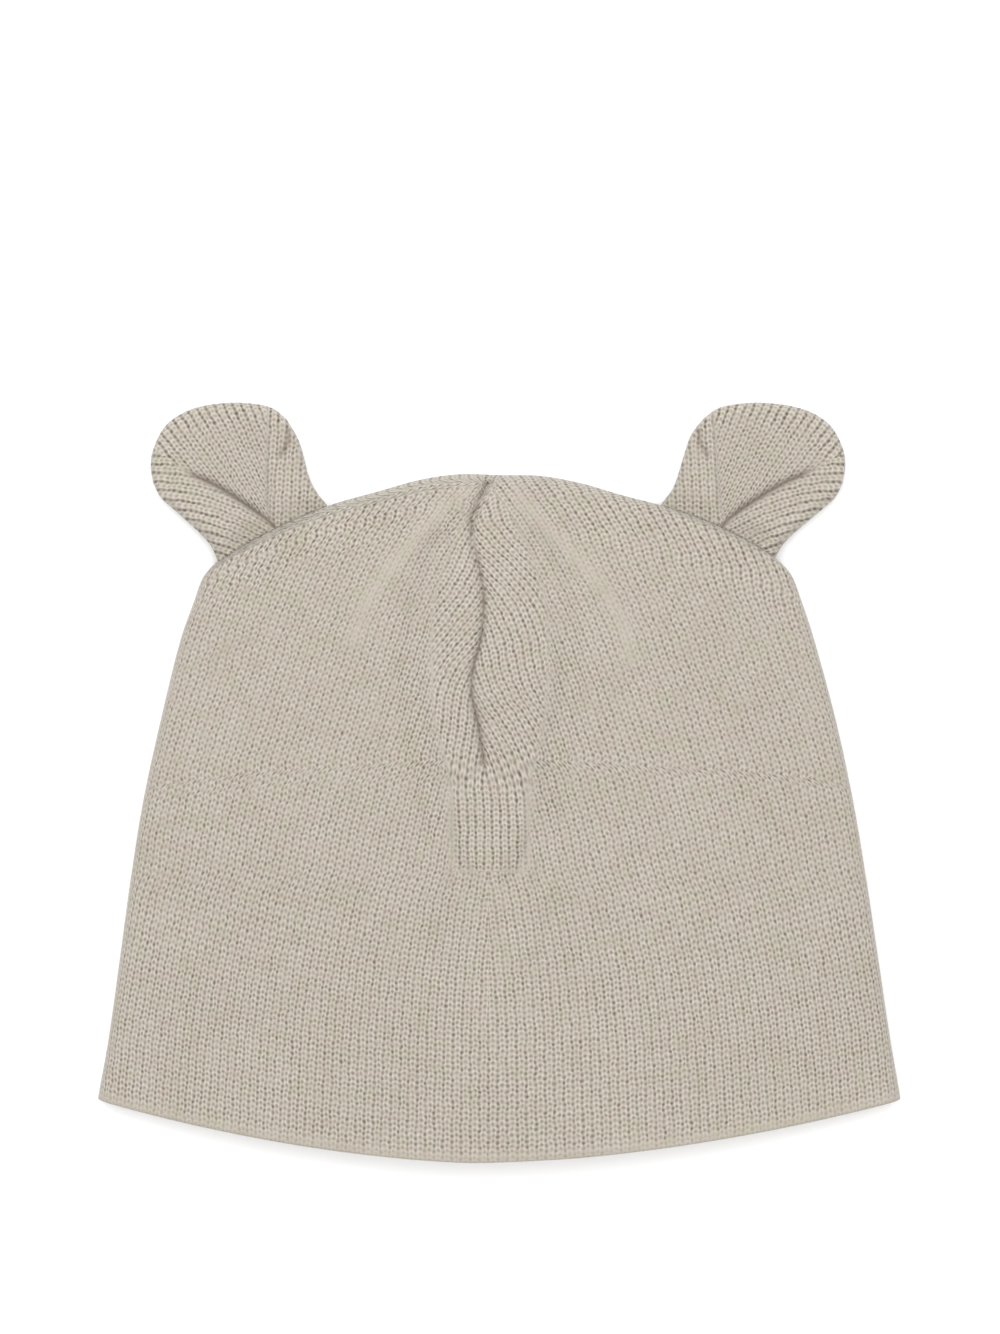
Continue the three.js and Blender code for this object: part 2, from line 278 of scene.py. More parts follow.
@dataclass
class NodeMaker:
    """Adds shader nodes one by one and links them."""

    tree: bpy.types.NodeTree

    def node(self, kind: str, **settings: object) -> bpy.types.Node:
        """Adds a node.

        Args:
            kind: the node's type name.
            settings: values for the node's own properties.

        Returns:
            The new node.
        """
        made = self.tree.nodes.new(kind)
        for name, value in settings.items():
            setattr(made, name, value)
        return made

    def feed(self, socket: Socket, value: object) -> None:
        """Links an output to a socket, or sets the socket's value.

        Args:
            socket: the input that is fed.
            value: an output, or a plain value.
        """
        if isinstance(value, Socket):
            self.tree.links.new(value, socket)
        else:
            socket.default_value = value

    def attribute(self, name: str) -> Socket:
        """Reads one of the mesh's own values."""
        return self.node("ShaderNodeAttribute", attribute_name=name).outputs["Fac"]

    def math(self, operation: str, *values: object) -> Socket:
        """Adds a Math node.

        Args:
            operation: what it works out.
            values: its inputs, sockets or numbers.

        Returns:
            Its output.
        """
        made = self.node("ShaderNodeMath", operation=operation)
        for socket, value in zip(made.inputs, values):
            self.feed(socket, value)
        return made.outputs[0]

    def times(self, one: object, other: object) -> Socket:
        """Multiplies two values."""
        return self.math("MULTIPLY", one, other)

    def plus(self, one: object, other: object) -> Socket:
        """Adds two values."""
        return self.math("ADD", one, other)

    def minus(self, one: object, other: object) -> Socket:
        """Takes the second value from the first."""
        return self.math("SUBTRACT", one, other)

    def noise(self, vector: Socket, scale: float, detail: float) -> Socket:
        """Adds a noise pattern.

        Args:
            vector: the coordinates that it reads.
            scale: its scale.
            detail: how many finer layers it has.

        Returns:
            Its grey value.
        """
        made = self.node("ShaderNodeTexNoise")
        self.feed(made.inputs["Vector"], vector)
        made.inputs["Scale"].default_value = scale
        made.inputs["Detail"].default_value = detail
        return made.outputs["Fac"]

    def span(self, value: Socket, low: float, high: float, to_low: float, to_high: float) -> Socket:
        """Maps one range of values on another.

        Args:
            value: what is mapped.
            low: the range's start.
            high: the range's end.
            to_low: what the start becomes.
            to_high: what the end becomes.

        Returns:
            The mapped value.
        """
        made = self.node("ShaderNodeMapRange", clamp=True)
        for socket, number in zip(made.inputs[1:5], (low, high, to_low, to_high)):
            socket.default_value = number
        self.feed(made.inputs[0], value)
        return made.outputs[0]

    def wobble(self, vector: Socket, scale: float, low: float, high: float) -> Socket:
        """Adds a value that wanders between two others.

        Args:
            vector: the coordinates that it reads.
            scale: its scale.
            low: the lower of the two.
            high: the higher of the two.

        Returns:
            The wandering value.
        """
        return self.span(self.noise(vector, scale, COARSE), *NOISE_RANGE, low, high)

    def mix(self, share: object, low: object, high: object, blend: str = "MIX") -> Socket:
        """Mixes two colours.

        Args:
            share: how much of the second.
            low: the first colour, a socket or a colour.
            high: the second colour, a socket or a colour.
            blend: how they are put together.

        Returns:
            The mixed colour.
        """
        made = self.node("ShaderNodeMix", data_type="RGBA", blend_type=blend)
        self.feed(made.inputs[0], share)
        self.feed(made.inputs[6], low)
        self.feed(made.inputs[7], high)
        return made.outputs[2]


def linear(colour: Colour) -> tuple[float, float, float, float]:
    """Turns a display colour into the linear one that shaders use.

    Args:
        colour: the display's red, green and blue, 0 to 255.

    Returns:
        The linear colour with full alpha.
    """
    parts = []
    for part in colour:
        value = part / 255
        parts.append(value / 12.92 if value <= 0.04045 else ((value + 0.055) / 1.055) ** 2.4)
    return (parts[0], parts[1], parts[2], 1.0)


@dataclass(frozen=True)
class Heather:
    """A tint that comes and goes over the yarn: none at one value of a noise pattern, most at another."""

    tint: Colour
    scale: float
    none_at: float
    most_at: float
    most: float
    is_aside: bool = True


@dataclass(frozen=True)
class Stitch:
    """A place in the knit, in wales and courses, and how clearly the stitches stand out there."""

    wale: Socket
    course: Socket
    strength: Socket


@dataclass(frozen=True)
class KnitFinish:
    """A fine matt yarn in stockinette, drawn stitch by stitch from a map of wales and courses."""

    name: str
    face: Face = Face.PLAIN
    strand: Colour = (185, 178, 167)
    # The colour of the knit's low parts: painted shade in its holes and in the gaps between its strands.
    between: Colour = (96, 87, 78)
    # The colour of the painted shade in the seam's groove and in the ears' creases.
    seam: Colour = (90, 76, 64)
    heathers: tuple[Heather, ...] = (
        Heather((242, 250, 238), 230.0, 0.45, 0.70, 0.50, False),
        Heather((252, 243, 244), 250.0, 0.45, 0.70, 0.50),
        Heather((245, 244, 242), 60.0, 0.35, 0.65, 0.35),
    )
    # The pattern's middle height, and the depth of each of its waves.
    middle: float = 0.60
    holes: float = 0.17
    wales: float = 0.075
    legs: float = 0.135
    # The last wave paints a lit side and a shaded side on each loop.
    loop_light_and_shade: float = 0.072
    # What full rib adds to those depths.
    rib_legs: float = 0.12
    rib_wales: float = -0.01
    rib_loop_shading: float = 0.09
    # From this much rib on, the lines between the wales go on deepening, with more painted shade in them,
    # and the legs don't.
    line_from: float = 0.45
    line_wales: float = 0.32
    # The other face's rows of bumps: their wave, how round they are, and the dip between two bumps.
    purl_wave: float = 0.22
    purl_roundness: float = 0.8
    purl_dip: float = 0.18
    # How far stitches wander, in wales and in courses, and how much their clearness varies.
    wander: float = 0.10
    wander_scale: float = 420.0
    sway: float = 0.13
    sway_scale: float = 310.0
    faintest: float = 0.6
    clearest: float = 1.4
    clearness_scale: float = 520.0
    # The height where no stitches are drawn, a little above the pattern's middle, so that loosened knit
    # comes out lighter: on the ridges from the top this lighter colour is a painted highlight.
    # Then how faint the stitches are on the line between two maps.
    loose_height: float = 0.68
    line_tightness: float = 0.5
    line_reach: float = 0.9
    # The yarn's own fibres.
    fibre_scale: float = 2600.0
    darkest_fibre: float = 0.88
    brightest_fibre: float = 1.1
    smoothest: float = 0.86
    roughest: float = 0.97
    bump_depth: float = 0.35 * MM
    specular: float = 0.2
    sheen: float = 0.25
    sheen_roughness: float = 0.5
    aside: tuple[float, float, float] = (0.31, 0.17, 0.05)

    def plain_height(self, make: NodeMaker, stitch: Stitch) -> Socket:
        """Draws the stitches' legs and the holes between them, and paints a lit side and a shaded side on
        each loop.

        Args:
            make: adds the nodes.
            stitch: the place in the knit.

        Returns:
            The strand's height, from 0 in a hole to 1 on a leg.
        """
        turn = make.times(stitch.wale, 2 * math.pi)
        course_turn = make.times(stitch.course, 2 * math.pi)
        across, along = make.math("COSINE", turn), make.math("COSINE", course_turn)
        rib = make.attribute(RIB)
        line_rib = make.math("MAXIMUM", make.minus(rib, self.line_from), 0.0)
        rib = make.math("MINIMUM", rib, self.line_from)
        leg_depth = make.math("MULTIPLY_ADD", rib, self.rib_legs, self.legs)
        legs = make.times(make.math("COSINE", make.times(turn, 2.0)), leg_depth)
        holes = make.times(make.times(across, along), self.holes)
        wale_depth = make.math("MULTIPLY_ADD", rib, self.rib_wales, self.wales)
        wales = make.times(across, make.math("MULTIPLY_ADD", line_rib, self.line_wales, wale_depth))
        # Painted light and shade: a lit and a shaded side on each loop, in the height that colours the
        # yarn.
        loop_shading_depth = make.math("MULTIPLY_ADD", rib, self.rib_loop_shading, self.loop_light_and_shade)
        loop_light_and_shade = make.times(make.math("SINE", course_turn), loop_shading_depth)
        pattern = make.plus(make.plus(legs, wales), make.plus(holes, loop_light_and_shade))
        return make.minus(self.middle, make.times(pattern, stitch.strength))

    def purl_height(self, make: NodeMaker, stitch: Stitch) -> Socket:
        """Draws the wavy rows of bumps of the knit's other face.

        Args:
            make: adds the nodes.
            stitch: the place in the knit.

        Returns:
            The strand's height, from 0 in a hole to 1 on a bump.
        """
        turn = make.times(stitch.wale, 2 * math.pi)
        wave = make.times(make.math("COSINE", turn), self.purl_wave)
        place = make.math("FRACT", make.plus(stitch.course, wave))
        offset = make.times(make.minus(place, 0.5), math.pi)
        row = make.math("POWER", make.math("COSINE", offset), self.purl_roundness)
        twice = make.math("COSINE", make.times(turn, 2.0))
        bump = make.math("MULTIPLY_ADD", twice, self.purl_dip, 1 - self.purl_dip)
        gap = make.minus(1.0, make.times(row, bump))
        return make.minus(1.0, make.times(gap, stitch.strength))

    def stitch(self, make: NodeMaker, side: Socket, coordinates: Socket) -> Stitch:
        """Reads the place in the knit, from the second map where its side is positive.

        Args:
            make: adds the nodes.
            side: how far inside the second map's part of the knit a point lies.
            coordinates: the piece's own coordinates.

        Returns:
            The place, with the small wandering of real stitches.
        """
        maps = make.node("ShaderNodeMix", data_type="VECTOR")
        make.feed(maps.inputs[0], make.math("GREATER_THAN", side, 0.0))
        make.feed(maps.inputs[4], make.node("ShaderNodeUVMap", uv_map=STITCH_MAP).outputs[0])
        make.feed(maps.inputs[5], make.node("ShaderNodeUVMap", uv_map=SECOND_MAP).outputs[0])
        place = make.node("ShaderNodeSeparateXYZ")
        make.feed(place.inputs[0], maps.outputs[1])
        wander = make.wobble(coordinates, self.wander_scale, -self.wander, self.wander)
        sway = make.wobble(coordinates, self.sway_scale, -self.sway, self.sway)
        strength = make.wobble(coordinates, self.clearness_scale, self.faintest, self.clearest)
        return Stitch(make.plus(place.outputs[0], wander), make.plus(place.outputs[1], sway), strength)

    def colour(self, make: NodeMaker, yarn: Socket, coordinates: Socket) -> Socket:
        """Colours the yarn by its height, with painted shade in its low parts, by its heather, and with
        painted shade in the seam's groove and the ears' creases.

        Args:
            make: adds the nodes.
            yarn: the yarn's height.
            coordinates: the piece's own coordinates.

        Returns:
            The colour.
        """
        moved = make.node("ShaderNodeMapping")
        make.feed(moved.inputs["Vector"], coordinates)
        moved.inputs["Location"].default_value = self.aside
        # Painted shade: the lower the yarn, the nearer its colour comes to the dark of the holes.
        lit = make.span(yarn, 0.0, 1.0, 0.0, 1.0)
        colour = make.mix(lit, linear(self.between), linear(self.strand))
        for heather in self.heathers:
            noise = make.noise(moved.outputs[0] if heather.is_aside else coordinates, heather.scale, FINE)
            share = make.span(noise, heather.none_at, heather.most_at, 0.0, heather.most)
            colour = make.mix(share, colour, linear(heather.tint), "MULTIPLY")
        # Painted shade: the dark colour mixed in along the seam's groove and the ears' creases.
        return make.mix(make.attribute(SHADE), colour, linear(self.seam))

    def material(self) -> bpy.types.Material:
        """Makes the material.

        Returns:
            A material whose colour, roughness and bump follow the stitches.
        """
        made = bpy.data.materials.new(self.name)
        made.use_nodes = True
        made.node_tree.nodes.clear()
        make = NodeMaker(made.node_tree)
        side = make.attribute(SECOND_SIDE)
        coordinates = make.node("ShaderNodeTexCoord").outputs["Object"]
        fibre = make.noise(coordinates, self.fibre_scale, FINE)
        draw = self.plain_height if self.face is Face.PLAIN else self.purl_height
        drawn = draw(make, self.stitch(make, side, coordinates))
        clear = make.span(make.math("ABSOLUTE", side), 0.0, self.line_reach, self.line_tightness, 1.0)
        tight = make.times(make.attribute(TIGHTNESS), clear)
        loose = make.times(make.minus(1.0, tight), self.loose_height)
        height = make.plus(make.times(drawn, tight), loose)
        yarn = make.times(height, make.span(fibre, *FIBRE_RANGE, self.darkest_fibre, self.brightest_fibre))
        shader = make.node("ShaderNodeBsdfPrincipled")
        make.feed(shader.inputs["Base Color"], self.colour(make, yarn, coordinates))
        make.feed(shader.inputs["Roughness"], make.span(fibre, *WIDE_RANGE, self.smoothest, self.roughest))
        shader.inputs["Specular IOR Level"].default_value = self.specular
        shader.inputs["Sheen Weight"].default_value = self.sheen
        shader.inputs["Sheen Roughness"].default_value = self.sheen_roughness
        bump = make.node("ShaderNodeBump")
        bump.inputs["Strength"].default_value = 1.0
        bump.inputs["Distance"].default_value = self.bump_depth
        make.feed(bump.inputs["Height"], yarn)
        make.feed(shader.inputs["Normal"], bump.outputs[0])
        output = make.node("ShaderNodeOutputMaterial")
        make.feed(output.inputs[0], shader.outputs[0])
        return made


@dataclass
class Sheet:
    """One patch of a piece: a grid of points with its maps, by row and column."""

    points: np.ndarray
    stitches: np.ndarray
    bake: np.ndarray
    tightness: Values = 1.0
    shade: Values = 0.0
    rib: Values = 0.0
    second_stitches: np.ndarray | None = None
    second_side: Values = FAR_OUTSIDE
    slot: int = 0

    def __post_init__(self) -> None:
        """Spreads single values over the grid, and takes the first stitch map where there is no second."""
        for name in (TIGHTNESS, SHADE, RIB, SECOND_SIDE):
            setattr(self, name, np.broadcast_to(getattr(self, name), self.points.shape[:2]))
        if self.second_stitches is None:
            self.second_stitches = self.stitches

    def quads(self, first: int) -> np.ndarray:
        """Lists the grid's faces.

        Args:
            first: the number of the sheet's first point in the piece.

        Returns:
            Four point numbers for each face.
        """
        rows, columns = self.points.shape[:2]
        corner = first + np.arange(rows - 1)[:, None] * columns + np.arange(columns - 1)[None, :]
        above = corner + columns
        return np.stack([corner, corner + 1, above + 1, above], axis=-1).reshape(-1, 4)


def face_corners(values: np.ndarray) -> np.ndarray:
    """Spreads a grid of point values over the corners of its faces.

    Args:
        values: one value or pair for each point, by row and column.

    Returns:
        The values by face row, face column and corner.
    """
    return np.stack([values[:-1, :-1], values[:-1, 1:], values[1:, 1:], values[1:, :-1]], axis=2)


def halves_joined(left: np.ndarray, right: np.ndarray) -> np.ndarray:
    """Spreads two grids over the corners of their faces, each on its own side of the middle column."""
    middle = left.shape[1] // 2
    return np.concatenate([face_corners(left)[:, :middle], face_corners(right)[:, middle:]], axis=1)


def run_lengths(points: np.ndarray, axis: int) -> np.ndarray:
    """Measures a grid along its rows or its columns.

    Args:
        points: the grid.
        axis: 0 to measure along each column, 1 along each row.

    Returns:
        Each point's distance over the surface from the grid's first row or column.
    """
    return running_total(np.linalg.norm(np.diff(points, axis=axis), axis=2), axis)


def baked_part(points: np.ndarray, part: Part, has_straight_sides: bool) -> np.ndarray:
    """Lays a sheet out flat in its own part of the square that is baked.

    Args:
        points: the sheet's points.
        part: the part of the square.
        has_straight_sides: whether every row and column fills the part, or keeps its own length.

    Returns:
        The corners' places in the square.
    """
    left, low, width, height = part
    run, climb = run_lengths(points, 1), run_lengths(points, 0)
    if has_straight_sides:
        across, up = run / run[:, -1:], climb / climb[-1:]
    else:
        middle = points.shape[1] // 2
        run = run - run[:, middle : middle + 1]
        across, up = (run - run.min()) / (run.max() - run.min()), climb / climb.max()
    return face_corners(np.stack([left + width * across, low + height * up], axis=-1))


@dataclass
class KnitPiece:
    """A closed piece of knit, sewn up from sheets."""

    name: str
    replaces: str
    slot: str
    finishes: tuple[KnitFinish, ...]
    merge_distance: float = 0.01 * MM

    def sew(self, sheets: Sequence[Sheet]) -> bpy.types.Object:
        """Joins the sheets along their shared edges into one closed object and dresses it.

        Args:
            sheets: the patches, each sharing its edges' points with its neighbours.

        Returns:
            The finished object, riding on the hat's body in place of its CAD node.
        """
        faces, firsts = [], 0
        for sheet in sheets:
            faces.append(sheet.quads(firsts))
            firsts += sheet.points.shape[0] * sheet.points.shape[1]
        points = np.concatenate([sheet.points.reshape(-1, 3) for sheet in sheets]) * MM
        mesh = bpy.data.meshes.new(self.name)
        mesh.from_pydata(points.tolist(), [], np.concatenate(faces).tolist())
        maps = {BAKE_MAP: "bake", STITCH_MAP: STITCH_MAP, SECOND_MAP: SECOND_MAP}
        for map_name, attribute in maps.items():
            layer = mesh.uv_layers.new(name=map_name)
            corners = [getattr(sheet, attribute).reshape(-1, 2) for sheet in sheets]
            layer.data.foreach_set("uv", np.concatenate(corners).astype(np.float32).ravel())
        for attribute in (TIGHTNESS, SHADE, RIB, SECOND_SIDE):
            layer = mesh.attributes.new(attribute, "FLOAT", "POINT")
            values = np.concatenate([getattr(sheet, attribute).ravel() for sheet in sheets])
            layer.data.foreach_set("value", values.astype(np.float32))
        slots = np.concatenate([np.full(len(part), sheet.slot) for part, sheet in zip(faces, sheets)])
        mesh.polygons.foreach_set("material_index", slots.astype(np.int32))
        mesh.polygons.foreach_set("use_smooth", np.ones(len(slots), bool))
        for finish in self.finishes:
            mesh.materials.append(finish.material())
        piece = bpy.data.objects.new(self.name, mesh)
        bpy.context.scene.collection.objects.link(piece)
        self.close(piece)
        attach(piece, BODY)
        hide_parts(self.replaces)
        LOG.info("%s: %d faces", self.name, len(piece.data.polygons))
        return piece

    def close(self, piece: bpy.types.Object) -> None:
        """Merges the sheets' shared points and turns every face outwards.

        Args:
            piece: the object whose sheets are only laid side by side.
        """
        bpy.ops.object.select_all(action="DESELECT")
        piece.select_set(True)
        bpy.context.view_layer.objects.active = piece
        bpy.ops.object.mode_set(mode="EDIT")
        bpy.ops.mesh.select_all(action="SELECT")
        bpy.ops.mesh.remove_doubles(threshold=self.merge_distance)
        bpy.ops.mesh.dissolve_degenerate(threshold=self.merge_distance)
        bpy.ops.mesh.select_all(action="SELECT")
        bpy.ops.mesh.normals_make_consistent(inside=False)
        bpy.ops.object.mode_set(mode="OBJECT")
        piece.select_set(False)


@dataclass(frozen=True)
class Gauge:
    """How the knit's wales and courses run over the cap, in millimetres and stitches."""

    wales_across: float = 96.0
    # How far the wales reach out to each side, by height. They run past the crown's rounded shoulders.
    reach: Table = table(
        (-94.0, 102.0), (-64.0, 99.3), (-44.0, 96.3), (-24.0, 93.4), (-4.0, 90.1), (15.5, 85.8),
        (35.4, 81.0), (45.0, 78.2), (55.0, 75.0), (65.0, 71.6), (76.0, 67.8),
    )
    # The share of the wales of each half that has ended at the middle, by height.
    ended: Table = table(
        (-60.0, 0.0), (-44.0, 0.008), (-29.0, 0.027), (-17.0, 0.051), (-4.0, 0.087), (10.0, 0.133),
        (25.0, 0.187), (40.0, 0.246), (55.0, 0.329), (65.0, 0.398), (76.0, 0.475),
    )
    # The share that has come round the side from the back, by height.
    come_round: Table = table(
        (-60.0, 0.0), (-44.0, 0.004), (-29.0, 0.010), (-4.0, 0.021), (10.0, 0.030), (25.0, 0.046),
        (40.0, 0.060), (55.0, 0.068), (76.0, 0.068),
    )
    # How far a course lies lower at the middle than at the side, by height.
    droop: Table = table(
        (-94.0, 15.4), (-44.0, 17.0), (-29.0, 19.0), (-14.3, 20.2), (0.6, 20.8), (30.4, 20.6),
        (60.2, 19.0), (77.0, 18.0),
    )
    # How a course's droop is shared out: 2 is an arc, 1 is a straight run to a point at the middle.
    droop_power: Table = table(
        (-94.0, 1.65), (-44.0, 1.4), (-29.0, 1.15), (-14.3, 1.0), (0.6, 0.95), (30.0, 0.85), (60.0, 0.65),
        (77.0, 0.65),
    )
    # How much lower a course dips beside the seam, by height, and over which share of the way to the side.
    seam_dip: Table = table((-55.0, 0.0), (-30.0, 0.9), (0.0, 2.9), (30.0, 4.8), (77.0, 6.0))
    seam_dip_width: float = 0.20
    course_height: Table = table(
        (-94.0, 1.38), (-45.0, 1.39), (-15.0, 1.43), (10.0, 1.47), (50.0, 1.49), (80.0, 1.44)
    )
    lip_course_height: float = 1.4
    # How much wider apart the wales lie at the middle than at the side, by height.
    middle_spread: Table = table((-94.0, 0.10), (-50.0, 0.08), (-20.0, 0.02), (0.0, 0.0), (77.0, 0.0))
    # How round a course is at the middle.
    front_softness: float = 0.03
    back_softness: float = 0.20
    # The heights between which courses are counted up, and in how many steps.
    count_from: float = -100.0
    count_to: float = 100.0
    count_steps: int = 400

    def wale(self, y: np.ndarray, share: np.ndarray, is_back: bool) -> np.ndarray:
        """Counts wales from the middle of a side of the hat.

        Args:
            y: the points' heights up the cap.
            share: the share of the way from the middle to the side's fold.
            is_back: whether the points are on the back.

        Returns:
            The wale number, positive, from the front's middle.
        """
        half = self.wales_across / 2
        spread = self.middle_spread.at(y)
        fan = share * (1 - spread + spread * share)
        round_side = self.come_round.at(y)
        if is_back:
            return 2 * half - half * (1 - round_side) * fan
        ended = self.ended.at(y)
        return half * (ended + (1 - ended + round_side) * fan)

    def course(self, y: np.ndarray, share: np.ndarray, extra: np.ndarray, is_back: bool) -> np.ndarray:
        """Counts courses from the hem.

        Args:
            y: the points' heights up the cap.
            share: the share of the way from the middle to the side's fold.
            extra: how much longer the way over the surface is than in plan.
            is_back: whether the points are on the back.

        Returns:
            The course number at each point.
        """
        share = np.maximum(share, 0.0)
        softness = self.back_softness if is_back else self.front_softness
        power = self.droop_power.at(y)
        blunt, sharp = softness**power, (1 + softness**2) ** (power / 2)
        sag = (np.power(share * share + softness**2, power / 2) - blunt) / (sharp - blunt)
        dip = 0.0 if is_back else self.seam_dip.at(y) * (1 - np.exp(-share / self.seam_dip_width))
        level = y - self.droop.at(y) * sag - dip + extra
        heights = np.linspace(self.count_from, self.count_to, self.count_steps + 1)
        counts = running_total(np.diff(heights) / self.course_height.at((heights[1:] + heights[:-1]) / 2))
        return np.interp(level, heights, counts)


@dataclass(frozen=True)
class Gusset:
    """The raised middle of the front, from the seam's top to the tab's foot, with its own run of wales."""

    axis_x: float = -2.5
    foot_y: float = -21.7
    wale_width: Table = table((-25.0, 2.04), (-2.0, 2.04), (8.0, 1.92), (76.0, 1.92))
    course_height: Table = table((-25.0, 1.30), (-2.0, 1.30), (8.0, 1.40), (76.0, 1.40))
    half_width: Table = table(
        (-25.0, 9.7), (-2.0, 9.7), (8.0, 11.6), (16.0, 13.6), (30.0, 14.4), (43.8, 14.0), (52.8, 11.5),
        (61.5, 7.8), (69.0, 3.4), (76.0, -3.0),
    )
    # How far the wales lean towards the seam, in degrees, by height.
    left_lean: Table = table(
        (-4.0, 0.0), (8.0, 17.0), (16.0, 18.0), (25.0, 22.0), (35.0, 33.0), (45.0, 37.0),
        (55.0, 33.0), (76.0, 34.0),
    )
    right_lean: Table = table(
        (-4.0, 0.0), (8.0, 19.0), (16.0, 23.0), (25.0, 24.0), (35.0, 27.0), (45.0, 34.0),
        (55.0, 40.0), (76.0, 38.0),
    )
    # The heights between which the lean is added up, and in how many steps.
    count_from: float = -30.0
    count_to: float = 90.0
    count_steps: int = 480

    def side(self, x: np.ndarray, y: np.ndarray) -> np.ndarray:
        """Measures how far inside the gusset points lie, negative outside it."""
        return np.minimum(self.half_width.at(y) - np.abs(x - self.axis_x), y - self.foot_y)

    def stitches(self, distance: np.ndarray, y: np.ndarray, side: Side) -> np.ndarray:
        """Counts wales and courses in one half of the gusset.

        Args:
            distance: how far the points lie from the seam.
            y: their heights up the cap.
            side: which half they are in.

        Returns:
            The wale and course numbers.
        """
        lean = self.left_lean if side is Side.LEFT else self.right_lean
        heights = np.linspace(self.count_from, self.count_to, self.count_steps + 1)
        angles = np.radians(lean.at(heights))
        step = heights[1] - heights[0]
        rise, drift = np.cumsum(np.cos(angles)) * step, np.cumsum(np.sin(angles)) * step
        angle = np.radians(lean.at(y))
        wale = (distance * np.cos(angle) + np.interp(y, heights, drift)) / self.wale_width.at(y) + 0.5
        course = (np.interp(y, heights, rise) - distance * np.sin(angle)) / self.course_height.at(y)
        return np.stack([side.value * wale, course], axis=-1)


@dataclass
class Cap:
    """The cap: one knitted tube, closed along the crown and open at the hem, in millimetres."""

    wall: float = 2.2
    hem_half_width: float = 100.0
    hem_corner_y: float = -78.4
    hem_sag: float = 14.9
    hem_lowest_x: float = -4.0
    hem_power: float = 1.7
    shoulder_y: float = 54.8
    back_hem_extra: float = 0.7
    back_hem_power: int = 4
    lip_round: float = 0.6
    fold_mid_z: float = 3.4
    fold_crest_z: float = 7.2
    fold_radius: float = 3.6
    inner_fold_radius: float = 1.4
    left_outline: Table = table(
        (-78.9, 100.0), (-64.0, 97.3), (-44.1, 94.5), (-24.2, 91.8), (-4.3, 88.6), (15.5, 84.3),
        (35.4, 79.4), (45.3, 75.9), (51.0, 73.8), (54.8, 70.6),
    )
    right_outline: Table = table(
        (-78.9, 99.6), (-64.0, 97.0), (-44.1, 94.0), (-24.2, 91.0), (-4.3, 87.6), (15.5, 83.3),
        (35.4, 77.9), (45.3, 74.6), (51.0, 72.3), (54.8, 68.8),
    )
    left_crown: Table = table(
        (0.0, 76.4), (10.0, 76.6), (20.0, 75.2), (30.0, 72.4), (42.0, 69.0), (52.0, 64.9),
        (62.0, 59.9), (70.0, 54.8),
    )
    right_crown: Table = table(
        (0.0, 76.4), (10.0, 76.2), (20.0, 74.4), (30.0, 71.5), (42.0, 68.3), (52.0, 64.7),
        (62.0, 59.9), (70.0, 54.8),
    )
    # The front's height over the side folds, by height up the cap, and how it falls off towards the sides.
    loft: Table = table(
        (-94.0, 6.0), (-60.0, 6.9), (-20.0, 8.3), (20.0, 9.6), (48.0, 8.8), (66.0, 5.4), (77.0, 2.4)
    )
    loft_power: float = 2.4
    # The wall's inner side moves in from the outline with this power. It follows the folds that are wider
    # than the second value.
    inset_power: int = 5
    inner_folds_from: float = 2.0
    centre_points: tuple[Point, ...] = (
        (-94.0, -2.9), (-10.0, -2.9), (5.1, -4.0), (15.0, -5.5), (22.0, -7.0), (28.0, -6.7), (36.0, -4.7),
        (45.0, -4.0), (52.0, -5.0), (59.0, -6.8), (65.0, -7.2), (71.4, -4.5), (77.0, -2.2),
    )
    seam_top: Point = (-2.9, 74.1)
    centre_pull_width: float = 12.0
    centre_pull_end: float = 24.0
    wale_axis_x: float = -2.9
    tab_top_y: float = -0.1
    ripples: tuple[Ripple, ...] = (
        Ripple(0.16, (1 / 13.1, 0.0, 1.3), (0.0, 1 / 17.3, 0.4)),
        Ripple(0.112, (1 / 9.7, 1 / 9.7, 0.0), (1 / 14.9, -1 / 14.9, 2.0)),
        Ripple(0.05, (1 / 4.1, 1 / 9.0, 0.0), (-1 / 8.0, 1 / 5.3, 1.0)),
    )
    # How tight the stitches are drawn at the hem and the side folds, and where they reach full tightness.
    # Then the painted shade in the seam's groove, how much the ridges get blurred with a painted
    # highlight, and how much the tab's edge loosens the stitches.
    hem_tightness: float = 0.4
    hem_fade: Point = (0.4, 3.0)
    side_tightness: float = 0.5
    side_fade: Point = (0.1, 1.6)
    seam_shade: float = 0.70
    blur_and_highlight: float = 0.6
    loosening: float = 0.5
    # The rib in the valleys, and the heights where it comes and goes.
    valley_rib: float = 0.5
    valley_rib_starts: Point = (-24.0, -10.0)
    valley_rib_ends: Point = (30.0, 50.0)
    # The rib at the hem, and what it loses further up.
    hem_rib: float = 0.42
    first_loss: float = 0.26
    first_loss_over: Point = (-56.0, -15.0)
    second_loss: float = 0.16
    second_loss_over: Point = (-15.0, 15.0)
    # The rib at the crown's edge, and how far below it that ends.
    crown_rib: float = 0.65
    crown_rib_ends: Point = (4.0, 22.0)
    # The rib in the tab and in the gusset above it.
    tab_rib: float = 0.68
    gusset_rib: float = 0.58
    gusset_fade: Point = (-0.5, 1.0)
    gusset_rib_starts: Point = (-4.0, 6.0)
    columns_per_half: int = 90
    rows: int = 150
    fold_steps: int = 8
    inner_row_step: int = 4
    lip_steps: int = 5
    front_part: Part = (0.005, 0.005, 0.61, 0.525)
    back_part: Part = (0.005, 0.545, 0.52, 0.448)
    inner_front_part: Part = (0.63, 0.005, 0.36, 0.30)
    inner_back_part: Part = (0.63, 0.32, 0.36, 0.22)
    front_lip_part: Part = (0.54, 0.56, 0.45, 0.02)
    back_lip_part: Part = (0.54, 0.60, 0.45, 0.02)
    gauge: Gauge = field(default_factory=Gauge)
    gusset: Gusset = field(default_factory=Gusset)

